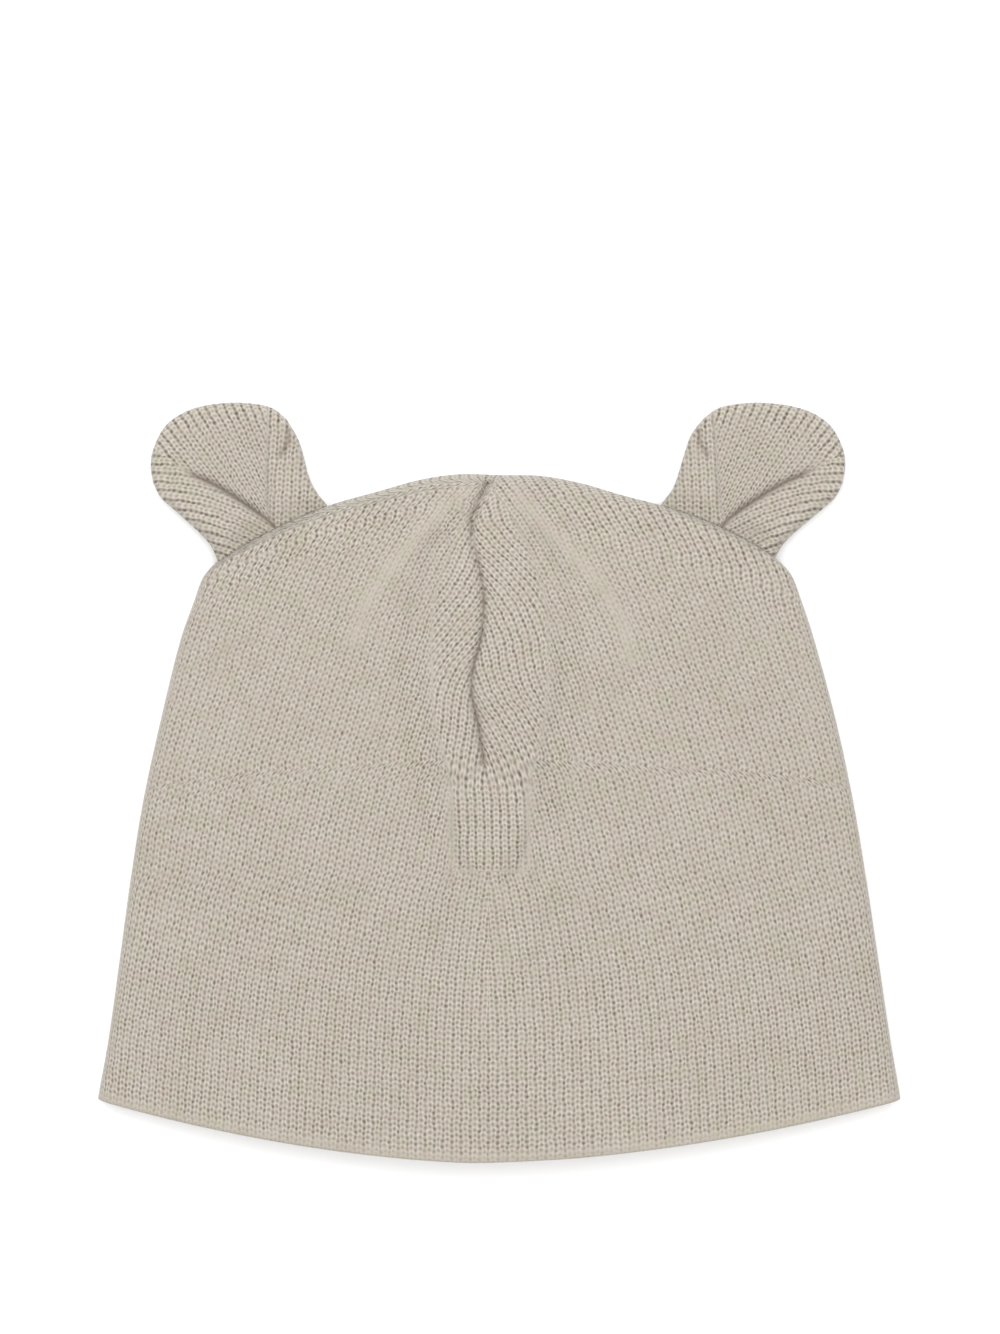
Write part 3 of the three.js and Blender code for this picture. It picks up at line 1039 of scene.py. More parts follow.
    def __post_init__(self) -> None:
        """Sets out the folds of the front."""
        self.centre = Table(self.centre_points)
        seam = Path(tuple((x, y) for y, x in self.centre_points[2:-1]) + (self.seam_top,))
        valley = line(
            (-14.4, 60.0), (-20.4, 40.0), (-22.4, 28.0), (-20.4, 15.0), (-17.4, 1.0),
            (-15.4, -12.0), (-9.4, -23.5),
        )
        left_ridge = line((-8.5, 72.0), (-14.0, 68.0), (-24.0, 56.7), (-32.0, 46.6), (-35.9, 35.4))
        right_ridge = line(
            (4.5, 72.0), (9.0, 65.5), (16.5, 58.0), (25.0, 48.9), (30.5, 38.8), (32.4, 30.4)
        )
        tab_edge = line((-12.6, 0.0), (-12.4, -16.0), (-10.5, -22.5))
        self.folds = (
            Fold("dart seam", -1.2, 1.1, seam),
            Fold("dart slit", -0.9, 0.32, seam, mark=Mark.DARK),
            Fold("valley beside the dart", -1.9, 3.6, valley, True, Mark.RIBBED),
            Fold("ridge from the top, left", 0.8, 3.0, left_ridge, mark=Mark.BLURRED_WITH_HIGHLIGHT),
            Fold("ridge from the top, right", 0.8, 3.0, right_ridge, mark=Mark.BLURRED_WITH_HIGHLIGHT),
            Fold("ridge below the dart", 0.7, 2.2, line((-16.6, -25.0), (-11.8, -41.0)), True),
            Fold("crease down the middle", 0.35, 1.2, line((-2.9, -28.0), (-2.9, -93.0))),
            Fold("notch at the top, left", -1.3, 0.9, line(self.seam_top, (-5.3, 77.0))),
            Fold("notch at the top, right", -1.3, 0.9, line(self.seam_top, (0.1, 77.0))),
            Fold("pucker at the dart's foot", -1.0, 0.9, line((-4.2, 4.6), (-6.3, 1.8))),
            Fold("row above the tab", -0.5, 0.7, line((-11.0, 0.2), (5.8, 0.2))),
            Fold("edge of the tab", -0.7, 0.9, tab_edge, True, Mark.LOOSE),
        )

    def outline(self, side: Side, y: np.ndarray) -> np.ndarray:
        """Returns how far a side lies from the middle at each height."""
        return (self.left_outline if side is Side.LEFT else self.right_outline).at(y)

    def crown_y(self, x: np.ndarray) -> np.ndarray:
        """Returns the height of the crown's edge at each place across."""
        return np.where(x < 0, self.left_crown.at(np.abs(x)), self.right_crown.at(np.abs(x)))

    def half_width(self, across: np.ndarray, y: np.ndarray) -> np.ndarray:
        """Returns the half width on each point's own side."""
        return np.where(across < 0, self.outline(Side.LEFT, y), self.outline(Side.RIGHT, y))

    def hem_y(self, x: np.ndarray, is_back: bool) -> np.ndarray:
        """Places the hem.

        Args:
            x: the points' places across.
            is_back: whether the points are on the back, which is a little longer.

        Returns:
            The hem's height up the cap at each point.
        """
        shift = np.where(x < self.hem_lowest_x, self.hem_lowest_x, -self.hem_lowest_x)
        reach = self.hem_half_width + shift
        depth = self.hem_sag * (1 - (np.abs(x - self.hem_lowest_x) / reach) ** self.hem_power)
        longer = self.back_hem_extra * (1 - (x / self.hem_half_width) ** self.back_hem_power)
        extra = longer if is_back else 0.0
        return self.hem_corner_y - depth - extra

    def plan(
        self, across: np.ndarray, along: np.ndarray, is_back: bool
    ) -> tuple[np.ndarray, np.ndarray, np.ndarray]:
        """Places points in plan.

        Args:
            across: from -1 at the left fold to 1 at the right.
            along: from 0 at the hem to 1 at the crown's edge.
            is_back: whether the points are on the back.

        Returns:
            The points' x and y, and the height up the side that their row starts from.
        """
        row_y = lerp(self.hem_corner_y, self.shoulder_y, along)
        x = across * self.half_width(across, row_y)
        top_x = across * self.half_width(across, np.full_like(across, self.shoulder_y))
        hem = self.hem_y(across * self.hem_half_width, is_back)
        y = lerp(hem, self.crown_y(top_x), along)
        if not is_back:
            pull = self.centre.at(y) * bell(x, self.centre_pull_width)
            x = x + pull * (1 - along**self.centre_pull_end)
        return x, y, row_y

    def skin(self, across: np.ndarray, along: np.ndarray, is_back: bool, is_inner: bool) -> np.ndarray:
        """Places the points of one side of the wall.

        Args:
            across: from -1 at the left fold to 1 at the right.
            along: from 0 at the hem to 1 at the crown's edge.
            is_back: whether the points are on the back.
            is_inner: whether the points are on the wall's inner side.

        Returns:
            The points, in millimetres.
        """
        x, y, row_y = self.plan(across, along, is_back)
        inset = self.wall if is_inner else 0.0
        radius = self.inner_fold_radius if is_inner else self.fold_radius
        hem = self.hem_y(np.clip(x, -self.hem_half_width, self.hem_half_width), is_back)
        side = edge_round((1 - np.abs(across)) * self.half_width(across, row_y), radius)
        top = edge_round((1 - along) * (self.crown_y(x) - hem), radius)
        if is_back:
            far = np.full_like(x, inset)
        else:
            shapes = self.folds + self.ripples
            if is_inner:
                shapes = [fold for fold in self.folds if fold.half_width > self.inner_folds_from]
            relief = sum(shape.relief(x, y) for shape in shapes)
            loft = self.loft.at(y) * (1 - np.abs(across) ** self.loft_power)
            far = self.fold_crest_z + loft + relief - inset
        z = lerp(self.fold_mid_z, far, side * top)
        inset_x, inset_y = inset * across**self.inset_power, inset * along**self.inset_power
        return np.stack([x - inset_x, y - inset_y, z], axis=-1)

    def places(self, length: float, steps: int) -> np.ndarray:
        """Spaces places out from 0 to 1, evenly and then closer and closer round the fold at the end.

        Args:
            length: the whole way's length.
            steps: how many even steps there are.

        Returns:
            The places.
        """
        share = self.fold_radius / length
        turn = 1 - share * (1 - np.sin(np.linspace(0.0, math.pi / 2, self.fold_steps + 1)[1:]))
        return np.concatenate([np.linspace(0.0, 1 - share, steps + 1), turn])

    def column_places(self) -> np.ndarray:
        """Returns the columns' places across, close together round the side folds."""
        half = self.places(self.hem_half_width, self.columns_per_half)
        return np.concatenate([-half[:0:-1], half])

    def row_places(self) -> np.ndarray:
        """Spaces the rows out, with a row at each end of the tab.

        Returns:
            The rows' places along.
        """
        hem, crown = float(self.hem_y(np.zeros(1), False)[0]), float(self.crown_y(np.zeros(1))[0])
        rows = self.places(crown - hem, self.rows)
        for edge in (self.gusset.foot_y, self.tab_top_y):
            place = (edge - hem) / (crown - hem)
            rows[np.argmin(np.abs(rows - place))] = place
        return rows

    def stitch_map(self, points: np.ndarray, is_back: bool) -> np.ndarray:
        """Counts the wale and the course at each corner of each face.

        Args:
            points: the sheet's points.
            is_back: whether the sheet is the back.

        Returns:
            The corners' wale and course numbers.
        """
        middle = points.shape[1] // 2
        flat = points * np.array([1.0, 1.0, 0.0])
        across_extra = run_lengths(points, 1) - run_lengths(flat, 1)
        across_extra = np.abs(across_extra - across_extra[:, middle : middle + 1])
        extra = run_lengths(points, 0) - run_lengths(flat, 0)
        y = points[..., 1]
        halves = []
        for side in Side:
            out = side.value * (points[..., 0] - self.wale_axis_x)
            share = (out + across_extra) / (self.gauge.reach.at(y) + side.value * -self.wale_axis_x)
            wales = self.gauge.wale(y, share, is_back)
            courses = self.gauge.course(y, share, extra, is_back)
            halves.append(np.stack([side.value * wales, courses], axis=-1))
        return halves_joined(*halves)

    def gusset_map(self, points: np.ndarray) -> np.ndarray:
        """Counts the gusset's own wale and course at each corner of each face.

        Args:
            points: the front's points.

        Returns:
            The corners' wale and course numbers.
        """
        middle = points.shape[1] // 2
        distance = np.abs(points[..., 0] - points[:, middle : middle + 1, 0])
        return halves_joined(*[self.gusset.stitches(distance, points[..., 1], side) for side in Side])

    def sheet(self, is_back: bool, is_inner: bool, part: Part) -> Sheet:
        """Makes one side of the wall, front or back.

        Args:
            is_back: whether it is the back.
            is_inner: whether it is the wall's inner side.
            part: its part of the baked square.

        Returns:
            The sheet.
        """
        rows = self.row_places()
        if is_inner:
            even, turn = rows[: -self.fold_steps], rows[-self.fold_steps :]
            rows = np.concatenate([even[:: self.inner_row_step], turn])
        across, along = np.meshgrid(self.column_places(), rows)
        points = self.skin(across, along, is_back, is_inner)
        sheet = Sheet(points, self.stitch_map(points, is_back), baked_part(points, part, False))
        if is_inner:
            sheet.slot = 1
            return sheet
        sheet.tightness = self.tightness(points, across)
        if not is_back:
            self.mark(sheet)
            sheet.second_stitches = self.gusset_map(points)
            sheet.second_side = self.gusset.side(points[..., 0], points[..., 1])
        return sheet

    def tightness(self, points: np.ndarray, across: np.ndarray) -> np.ndarray:
        """Says how tight the stitches are drawn, less so along the hem and the side folds.

        Args:
            points: the sheet's points.
            across: their places across.

        Returns:
            The tightness at each point.
        """
        y = points[..., 1]
        hem = lerp(self.hem_tightness, 1.0, smooth(*self.hem_fade, y - points[:1, :, 1]))
        edge = (1 - np.abs(across)) * self.half_width(across, y)
        return hem * lerp(self.side_tightness, 1.0, smooth(*self.side_fade, edge))

    def mark(self, sheet: Sheet) -> None:
        """Sets where the front's knit gets painted shade, where it is blurred with a painted highlight and
        where its wales stand out as ribs.

        Args:
            sheet: the front.
        """
        x, y = sheet.points[..., 0], sheet.points[..., 1]
        inside = smooth(*self.gusset_fade, self.gusset.side(x, y))
        inside = inside * lerp(self.tab_rib, self.gusset_rib, smooth(*self.gusset_rib_starts, y))
        crown = self.crown_rib * (1 - smooth(*self.crown_rib_ends, self.crown_y(x) - y))
        low = self.hem_rib - self.first_loss * smooth(*self.first_loss_over, y)
        low = low - self.second_loss * smooth(*self.second_loss_over, y)
        sheet.rib = np.maximum(low, np.maximum(inside, crown))
        for fold in self.folds:
            share = np.clip(np.abs(fold.relief(x, y) / fold.height), 0.0, 1.0)
            if fold.mark is Mark.DARK:
                # Painted shade along the seam's groove.
                sheet.shade = self.seam_shade * share
            elif fold.mark is Mark.BLURRED_WITH_HIGHLIGHT:
                # Blurred stitches with a painted highlight: loosened knit comes out lighter.
                sheet.tightness = sheet.tightness * (1 - self.blur_and_highlight * share**2)
            elif fold.mark is Mark.LOOSE:
                sheet.tightness = sheet.tightness * (1 - self.loosening * share)
            elif fold.mark is Mark.RIBBED:
                valley = smooth(*self.valley_rib_starts, y) * (1 - smooth(*self.valley_rib_ends, y))
                sheet.rib = np.maximum(sheet.rib, self.valley_rib * share * valley)

    def lip(self, outer: Sheet, inner: Sheet, part: Part) -> Sheet:
        """Makes the hem's rounded lip between the wall's outer and inner side.

        Args:
            outer: the wall's outer side.
            inner: the wall's inner side.
            part: its part of the baked square.

        Returns:
            The sheet.
        """
        turn = np.linspace(0.0, math.pi, self.lip_steps + 1)
        blend = (1 - np.cos(turn)) / 2
        points = np.stack([lerp(outer.points[0], inner.points[0], share) for share in blend])
        points[..., 1] -= self.lip_round * np.sin(turn)[:, None]
        row = outer.stitches[0]
        first = np.concatenate([row[:, 0], row[-1:, 1]])
        wales = np.repeat(first[None, :, 0], len(turn), axis=0)
        courses = first[None, :, 1] - run_lengths(points, 0) / self.gauge.lip_course_height
        stitches = face_corners(np.stack([wales, courses], axis=-1))
        return Sheet(points, stitches, baked_part(points, part, False), self.hem_tightness)

    def build(self) -> bpy.types.Object:
        """Builds the cap.

        Returns:
            The finished object.
        """
        front = self.sheet(False, False, self.front_part)
        back = self.sheet(True, False, self.back_part)
        inner_front = self.sheet(False, True, self.inner_front_part)
        inner_back = self.sheet(True, True, self.inner_back_part)
        front_lip = self.lip(front, inner_front, self.front_lip_part)
        back_lip = self.lip(back, inner_back, self.back_lip_part)
        LOG.info("folds of the front: %s", ", ".join(fold.name for fold in self.folds))
        outside = KnitFinish("cap_knit_outside")
        inside = KnitFinish("cap_knit_inside", Face.PURL)
        piece = KnitPiece("cap_knit", "cap_body", "cap_knit", (outside, inside))
        return piece.sew([front, back, inner_front, inner_back, front_lip, back_lip])


@dataclass
class EarShape:
    """One ear's outline in plan, in millimetres, with x counted outwards from the hat's middle."""

    base: Point
    inner_side: tuple[Point, ...]
    outer_side: tuple[Point, ...]
    rim: tuple[Point, ...]
    outer_crease: Path
    inner_fold: Path
    short_crease: Path


@dataclass
class Ear:
    """An ear: a doubled pad of the knit, its two sides folded forward over a hollow middle."""

    side: Side
    shape: EarShape
    cap: Cap
    gap: float = 0.04
    tuck: float = 0.3
    slope_step: float = 0.5
    edge_z: float = 3.4
    underside_z: float = 0.7
    edge_radius: float = 3.0
    hollow_z: float = 5.4
    rim_z: float = 6.4
    rim_rise: Point = (0.3, 0.95)
    base_z: float = 5.6
    base_rise: Point = (-0.02, 0.22)
    base_share: float = 0.1
    # Each flap's height, the share of it left at its end, and its rounding.
    outer_flap: float = 3.4
    outer_flap_end: float = 0.25
    outer_flap_round: float = 2.6
    inner_flap: float = 2.3
    inner_flap_end: float = 0.3
    inner_flap_round: float = 3.4
    # Where the outer flap runs out, by the share of its crease and the distance from it.
    flap_ends: Point = (0.93, 1.0)
    flap_ends_over: Point = (0.0, 4.0)
    # The groove in the outer crease and the dent of the short one, with the lines of painted shade in
    # them.
    crease_ends: Point = (0.75, 1.0)
    groove: float = 1.0
    groove_aside: float = 0.3
    groove_width: float = 0.8
    dent: float = 0.6
    dent_width: float = 1.1
    crease_shade: float = 0.85
    crease_aside: float = 0.25
    crease_width: float = 0.5
    short_crease_shade: float = 0.55
    # The rib along the free edge and in the ear, and the distances over which one becomes the other.
    edge_rib: float = 0.9
    middle_rib: float = 0.3
    edge_rib_ends: Point = (3.0, 8.0)
    # The knit's gauge, and the point, from the outer crease's foot, that the hollow's wales fan out from.
    wale_width: float = 2.1
    course_height: float = 1.36
    fan_aside: float = 22.0
    fan_below: float = 38.0
    fan_radius: float = 78.0
    # The outer flap's wales bend with the flap, and its courses run across them.
    bend: float = 0.62
    bend_length: float = 58.0
    outer_wales_per_mm: float = 0.93 / 2.0
    outer_course_x: float = 0.94
    outer_course_y: float = 0.34
    inner_wale_width: float = 2.05
    inner_lean: float = 0.05
    columns: int = 84
    rows: int = 64
    curve_steps: int = 32
    end_steps: int = 6
    even_share: float = 0.4
    upper_part: Part = (0.01, 0.01, 0.98, 0.52)
    under_part: Part = (0.01, 0.56, 0.98, 0.36)
    base_part: Part = (0.01, 0.94, 0.98, 0.05)

    def curve(self, points: tuple[Point, ...], share: np.ndarray) -> np.ndarray:
        """Reads a smooth curve through points, by its length.

        Args:
            points: what it runs through.
            share: the shares of its length to read.

        Returns:
            The places on the curve.
        """
        knots = np.array(points)
        before = np.vstack([2 * knots[0] - knots[1], knots[:-1]])
        after = np.vstack([knots[1:], 2 * knots[-1] - knots[-2]])
        slopes = (after - before) / 2
        steps = np.linspace(0, 1, self.curve_steps + 1)[:, None]
        ends = zip(knots[:-1], knots[1:], slopes[:-1], slopes[1:])
        runs = [smooth_run(steps, *end) for end in ends]
        drawn = np.concatenate([runs[0]] + [run[1:] for run in runs[1:]])
        length = running_total(np.hypot(*np.diff(drawn, axis=0).T))
        wanted = np.asarray(share) * length[-1]
        return np.stack([np.interp(wanted, length, places) for places in drawn.T], axis=-1)

    def sides(self, along: np.ndarray, inset: float) -> tuple[np.ndarray, np.ndarray]:
        """Follows the ear's two sides, each from its end of the base.

        Args:
            along: from 0 at the base to 1 at the rim.
            inset: how far the base reaches over the crown's edge.

        Returns:
            The places on the inner side and on the outer side.
        """
        starts = [tuple(self.base_line(np.array(end), inset)) for end in (0.0, 1.0)]
        inner = self.curve((starts[0],) + self.shape.inner_side[1:], along)
        outer = self.curve((starts[1],) + self.shape.outer_side[1:], along)
        return inner, outer

    def base_line(self, share: np.ndarray, inset: float) -> np.ndarray:
        """Follows the crown's edge.

        Args:
            share: the shares of the base to read, from its inner end.
            inset: how far inside the crown's edge the line runs.

        Returns:
            The places on the line.
        """
        x = lerp(self.shape.base[0], self.shape.base[1], share)
        side = self.side.value
        y = self.cap.crown_y(side * x)
        ahead = self.cap.crown_y(side * (x + self.slope_step))
        behind = self.cap.crown_y(side * (x - self.slope_step))
        slope = (ahead - behind) / (2 * self.slope_step)
        length = np.hypot(slope, 1.0)
        clear = self.gap - inset
        return np.stack([x - slope / length * clear, y + clear / length], axis=-1)

    def plan(self, across: np.ndarray, along: np.ndarray, inset: float) -> np.ndarray:
        """Blends the ear's four edge curves.

        Args:
            across: from 0 at the inner side to 1 at the outer one.
            along: from 0 at the base to 1 at the rim.
            inset: how far the base reaches over the crown's edge.

        Returns:
            The places in plan.
        """
        inner, outer = self.sides(along, inset)
        base, rim = self.base_line(across, inset), self.curve(self.shape.rim, across)
        zero, one = np.zeros_like(across), np.ones_like(across)
        sides = lerp(inner, outer, across[..., None])
        ends = lerp(base, rim, along[..., None])
        base_chord = lerp(self.base_line(zero, inset), self.base_line(one, inset), across[..., None])
        start, end = self.curve(self.shape.rim, zero), self.curve(self.shape.rim, one)
        rim_chord = lerp(start, end, across[..., None])
        return sides + ends - lerp(base_chord, rim_chord, along[..., None])

    def relief(self, x: np.ndarray, y: np.ndarray, along: np.ndarray) -> np.ndarray:
        """Works out the upper side's height with its flaps and creases.

        Args:
            x: the places outwards.
            y: the places along.
            along: from 0 at the base to 1 at the rim.

        Returns:
            The upper side's height above the surface.
        """
        outer, outer_share = self.shape.outer_crease.nearest(x, y)
        inner, inner_share = self.shape.inner_fold.nearest(x, y)
        short, _ = self.shape.short_crease.nearest(x, y)
        hollow = lerp(self.hollow_z, self.rim_z, smooth(*self.rim_rise, along))
        outer_round = edge_round(np.maximum(-outer, 0.0), self.outer_flap_round)
        outer_height = self.outer_flap * lerp(1.0, self.outer_flap_end, outer_share) * outer_round
        inner_round = edge_round(np.maximum(inner, 0.0), self.inner_flap_round)
        inner_height = self.inner_flap * lerp(1.0, self.inner_flap_end, inner_share) * inner_round
        fade_out = 1 - smooth(*self.flap_ends, outer_share) * smooth(*self.flap_ends_over, np.abs(outer))
        groove = self.groove * bell(outer - self.groove_aside, self.groove_width)
        groove = groove * (1 - smooth(*self.crease_ends, outer_share))
        flap = np.maximum(outer_height * fade_out, inner_height)
        folded = hollow + flap - groove - self.dent * bell(short, self.dent_width)
        return lerp(self.base_z, folded, lerp(self.base_share, 1.0, smooth(*self.base_rise, along)))

    def grid(self) -> tuple[np.ndarray, np.ndarray]:
        """Spaces the ear's grid out, close together round the edges.

        Returns:
            Each point's places across and along.
        """
        turn = 0.5 - 0.5 * np.cos(np.linspace(0, math.pi, self.columns + 1))
        across = lerp(turn, np.linspace(0, 1, self.columns + 1), self.even_share)
        rise = np.sin(np.linspace(0, math.pi / 2, self.rows + 1))
        along = lerp(rise, np.linspace(0, 1, self.rows + 1), self.even_share)
        across[0], across[-1], along[0], along[-1] = 0.0, 1.0, 0.0, 1.0
        return np.meshgrid(across, along)

    def extent(self, across: np.ndarray, along: np.ndarray) -> tuple[np.ndarray, np.ndarray]:
        """Measures the ear through each point.

        Args:
            across: from 0 at the inner side to 1 at the outer one.
            along: from 0 at the base to 1 at the rim.

        Returns:
            The ear's width from side to side and its length from base to rim.
        """
        inner, outer = self.sides(along, 0.0)
        width = np.hypot(*(outer - inner).transpose(2, 0, 1))
        base, rim = self.base_line(across, 0.0), self.curve(self.shape.rim, across)
        length = np.hypot(*(rim - base).transpose(2, 0, 1))
        return width, length

    def skin(self, across: np.ndarray, along: np.ndarray, is_under: bool) -> np.ndarray:
        """Places the points of the ear's upper or under side.

        Args:
            across: from 0 at the inner side to 1 at the outer one.
            along: from 0 at the base to 1 at the rim.
            is_under: whether it is the under side.

        Returns:
            The points, in millimetres, with the ear on its own side of the hat.
        """
        plan = self.plan(across, along, 0.0 if is_under else self.tuck)
        width, length = self.extent(across, along)
        round_side = edge_round(np.minimum(across, 1 - across) * width, self.edge_radius)
        round_rim = edge_round((1 - along) * length, self.edge_radius)
        upper = self.relief(plan[..., 0], plan[..., 1], along)
        far = np.full_like(upper, self.underside_z) if is_under else upper
        z = lerp(self.edge_z, far, round_side * round_rim)
        return np.stack([plan[..., 0] * self.side.value, plan[..., 1], z], axis=-1)

    def stitch_maps(self, points: np.ndarray) -> tuple[np.ndarray, np.ndarray, np.ndarray]:
        """Counts the wale and the course at each corner of each face, in the hollow and on the two flaps.

        Args:
            points: the sheet's points.

        Returns:
            The hollow's numbers, the flaps' numbers, and how far onto a flap each point lies.
        """
        x, y = points[..., 0] * self.side.value, points[..., 1]
        foot = self.shape.outer_crease.points[0]
        focus = (foot[0] - self.fan_aside, foot[1] - self.fan_below)
        angle = np.arctan2(y - focus[1], x - focus[0])
        reach = np.hypot(x - focus[0], y - focus[1])
        extra = run_lengths(points, 0) - run_lengths(points[..., :2], 0)
        courses = (reach + extra) / self.course_height
        hollow = np.stack([angle * self.fan_radius / self.wale_width, courses], axis=-1)
        out = x - foot[0]
        bend = self.bend * (out - out**2 / self.bend_length)
        outer_wales = (y - foot[1] - bend) * self.outer_wales_per_mm
        outer_courses = (x * self.outer_course_x + y * self.outer_course_y + extra) / self.course_height
        outer_flap = np.stack([outer_wales, outer_courses], axis=-1)
        inner_wales = (x + self.inner_lean * y) / self.inner_wale_width
        inner_flap = np.stack([inner_wales, (y + extra) / self.course_height], axis=-1)
        outer, _ = self.shape.outer_crease.nearest(x, y)
        inner, _ = self.shape.inner_fold.nearest(x, y)
        outer_nearer = face_corners(outer).mean(axis=2) < -face_corners(inner).mean(axis=2)
        flaps = np.where(outer_nearer[..., None, None], face_corners(outer_flap), face_corners(inner_flap))
        return face_corners(hollow), flaps, np.maximum(-outer, inner)

    def build(self) -> bpy.types.Object:
        """Builds the ear.

        Returns:
            The finished object.
        """
        across, along = self.grid()
        upper, under = self.skin(across, along, False), self.skin(across, along, True)
        x, y = upper[..., 0] * self.side.value, upper[..., 1]
        crease, share = self.shape.outer_crease.nearest(x, y)
        # Painted shade along the outer crease and the short crease.
        shade = self.crease_shade * bell(crease - self.crease_aside, self.crease_width)
        shade = shade * (1 - smooth(*self.crease_ends, share))
        short, _ = self.shape.short_crease.nearest(x, y)
        shade = np.maximum(shade, self.short_crease_shade * bell(short, self.crease_width))
        width, length = self.extent(across, along)
        rim_distance = np.minimum((1 - across) * width, (1 - along) * length)
        rib = lerp(self.edge_rib, self.middle_rib, smooth(*self.edge_rib_ends, rim_distance))
        hollow, flaps, on_flap = self.stitch_maps(upper)
        top_bake = baked_part(upper, self.upper_part, True)
        top = Sheet(upper, hollow, top_bake, 1.0, shade, rib, flaps, on_flap)
        back = self.stitch_maps(under)[0]
        bottom = Sheet(under, back, baked_part(under, self.under_part, True), rib=rib)
        shares = np.linspace(0, 1, self.end_steps + 1)
        end_points = np.stack([lerp(under[0], upper[0], share) for share in shares])
        end_places = [end_points[..., 0] / self.wale_width, end_points[..., 2] / self.course_height]
        end_map = face_corners(np.stack(end_places, axis=-1))
        end = Sheet(end_points, end_map, baked_part(end_points, self.base_part, True))
        name = f"ear_{self.side.name.lower()}"
        piece = KnitPiece(f"{name}_knit", name, "ear_knit", (KnitFinish(f"{name}_knit"),))
        return piece.sew([top, bottom, end])


LEFT_EAR = EarShape(
    base=(42.9, 70.0),
    inner_side=((43.1, 69.1), (45.6, 72.2), (47.5, 76.0), (48.9, 81.5), (50.3, 85.6), (53.0, 90.3)),
    outer_side=((70.3, 55.4), (72.0, 59.0), (75.4, 62.7), (80.9, 67.7), (84.2, 70.7), (86.1, 74.2)),
    rim=(
        (53.0, 90.3), (57.5, 93.4), (66.5, 94.4), (76.0, 93.0), (82.6, 89.2), (85.9, 83.6), (86.8, 78.6),
        (86.1, 74.2),
    ),
    outer_crease=line(
        (56.3, 63.5), (58.0, 65.2), (61.0, 67.4), (66.9, 71.4), (71.2, 73.9), (76.1, 76.1), (79.9, 78.6)
    ),
    inner_fold=line((56.5, 63.5), (58.0, 69.2), (57.9, 84.8), (57.5, 95.0)),
    short_crease=line((52.5, 87.6), (52.3, 84.8), (54.5, 81.1)),
)

RIGHT_EAR = EarShape(
    base=(40.0, 68.3),
    inner_side=((40.2, 69.4), (42.9, 73.0), (44.4, 77.0), (46.0, 82.3), (47.6, 86.6), (50.5, 90.4)),
    outer_side=((68.6, 56.2), (70.4, 59.2), (73.9, 62.7), (79.9, 67.7), (83.2, 70.7), (85.1, 74.2)),
    rim=(
        (50.5, 90.4), (55.0, 93.3), (64.5, 94.4), (75.0, 92.9), (81.6, 89.2), (84.9, 83.8), (85.8, 79.0),
        (85.1, 74.2),
    ),
    outer_crease=line(
        (55.3, 63.5), (57.0, 65.4), (60.2, 67.8), (66.2, 71.8), (71.0, 74.4), (76.0, 76.7), (80.1, 79.0)
    ),
    inner_fold=line((55.5, 63.5), (54.6, 70.0), (53.6, 84.0), (52.4, 95.0)),
    short_crease=line((49.3, 87.6), (49.4, 84.8), (51.5, 81.1)),
)


@dataclass(frozen=True)
class Lamp:
    """A square soft light that faces the hat, in metres and watts."""

    name: str
    place: tuple[float, float, float]
    size: float
    power: float

    def build(self) -> None:
        """Adds the light."""
        light = bpy.data.lights.new(self.name, "AREA")
        light.shape = "SQUARE"
        light.use_shadow = True
        light.size = self.size
        light.energy = self.power
        lamp = bpy.data.objects.new(self.name, light)
        lamp.location = self.place
        lamp.rotation_euler = (Vector((0.0, 0.0, 0.0)) - lamp.location).to_track_quat("-Z", "Y").to_euler()
        lamp.visible_camera = False
        bpy.context.scene.collection.objects.link(lamp)


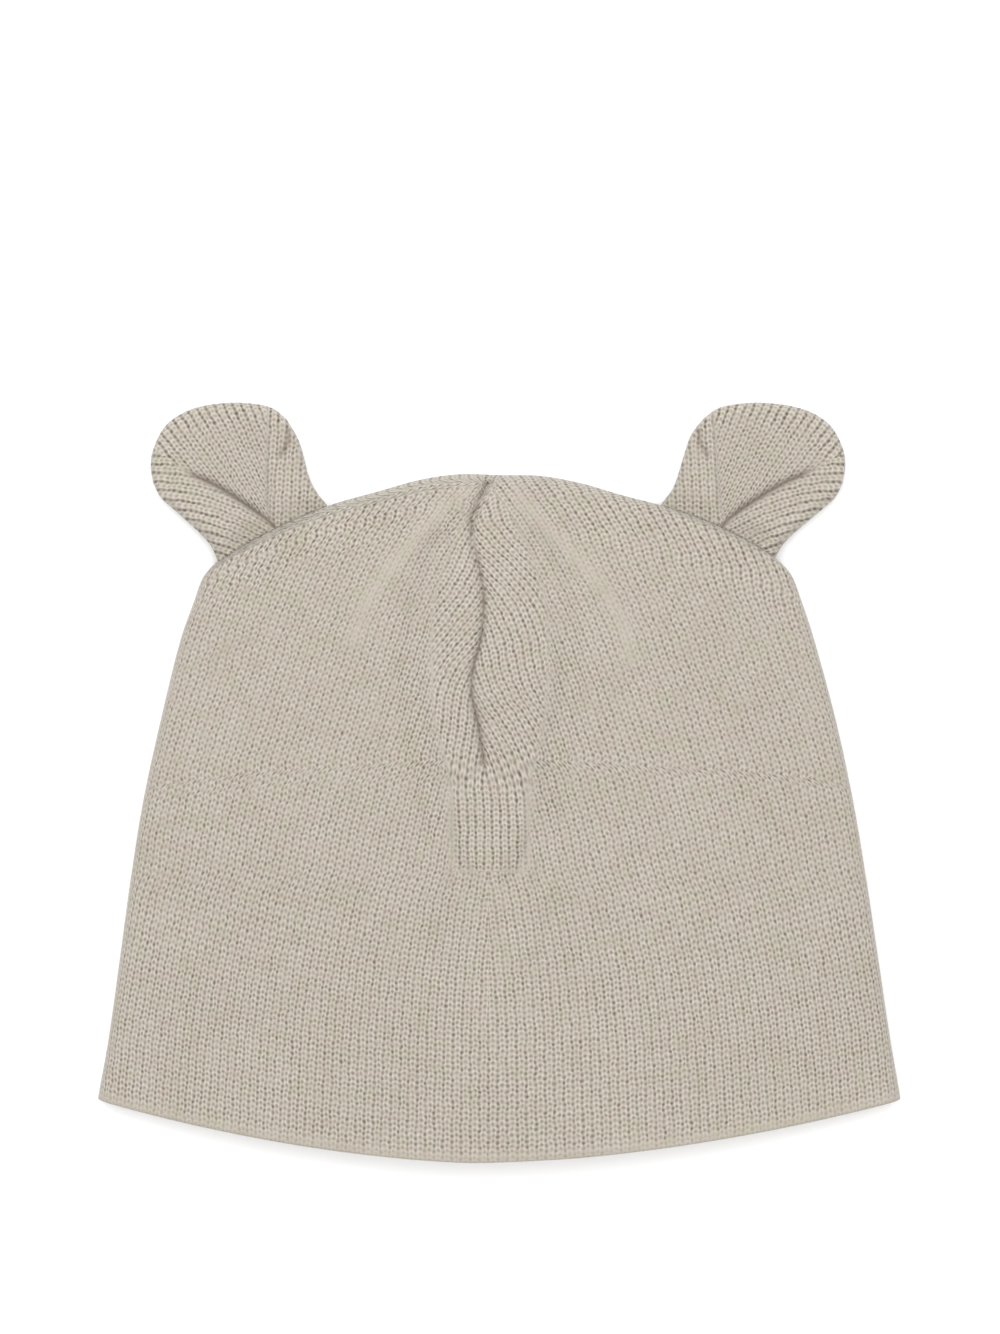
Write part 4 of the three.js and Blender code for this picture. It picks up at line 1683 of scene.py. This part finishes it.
@dataclass
class Studio:
    """The pale floor, the soft light and the camera, in metres."""

    frame_height: int = 1334
    millimetres_per_pixel: float = 0.2484
    outline_z: float = 4.0
    camera_height: float = 1.6
    camera_reach: float = 20.0
    middle_y: float = 28.7
    sensor: float = 24.0
    floor_size: float = 6.0
    floor_grey: float = 0.9
    floor_roughness: float = 0.9
    floor_specular: float = 0.1
    sky_strength: float = 0.76
    lamps: tuple[Lamp, ...] = (
        Lamp("overhead", (0.0, 0.3, 1.7), 2.4, 40.0),
        Lamp("key", (-0.3, 1.1, 1.0), 0.8, 4.0),
    )

    def floor(self) -> None:
        """Adds the floor."""
        bpy.ops.object.select_all(action="DESELECT")
        bpy.ops.mesh.primitive_plane_add(size=self.floor_size, location=(0.0, 0.0, 0.0))
        floor = bpy.context.active_object
        floor.name = "floor"
        material = bpy.data.materials.new("floor_white")
        material.use_nodes = True
        shader = material.node_tree.nodes["Principled BSDF"]
        shader.inputs["Base Color"].default_value = (*[self.floor_grey] * 3, 1.0)
        shader.inputs["Roughness"].default_value = self.floor_roughness
        shader.inputs["Specular IOR Level"].default_value = self.floor_specular
        floor.data.materials.append(material)

    def light(self) -> None:
        """Adds the sky and the lamps."""
        world = bpy.data.worlds.new("studio")
        world.use_nodes = True
        background = world.node_tree.nodes["Background"]
        background.inputs["Color"].default_value = (1.0, 1.0, 1.0, 1.0)
        background.inputs["Strength"].default_value = self.sky_strength
        bpy.context.scene.world = world
        for lamp in self.lamps:
            lamp.build()
        bpy.context.scene.view_settings.view_transform = "Standard"

    def camera(self) -> None:
        """Adds the camera, straight above, framed as the photograph is."""
        frame_height = self.frame_height * self.millimetres_per_pixel * MM
        data = bpy.data.cameras.new("camera")
        data.sensor_fit = "VERTICAL"
        data.sensor_height = self.sensor
        data.lens = self.sensor * (self.camera_height - self.outline_z * MM) / frame_height
        data.clip_end = self.camera_reach
        camera = bpy.data.objects.new("camera", data)
        camera.location = (0.0, self.middle_y * MM, self.camera_height)
        bpy.context.scene.collection.objects.link(camera)
        bpy.context.scene.camera = camera

    def build(self) -> None:
        """Sets up the whole studio."""
        self.floor()
        self.light()
        self.camera()


def main() -> None:
    """Builds the hat and the studio."""
    logging.basicConfig(level=logging.INFO, format="%(message)s")
    Studio().build()
    cap = Cap()
    cap.build()
    for side, shape in ((Side.LEFT, LEFT_EAR), (Side.RIGHT, RIGHT_EAR)):
        Ear(side, shape, cap).build()


if __name__ == "__main__":
    main()
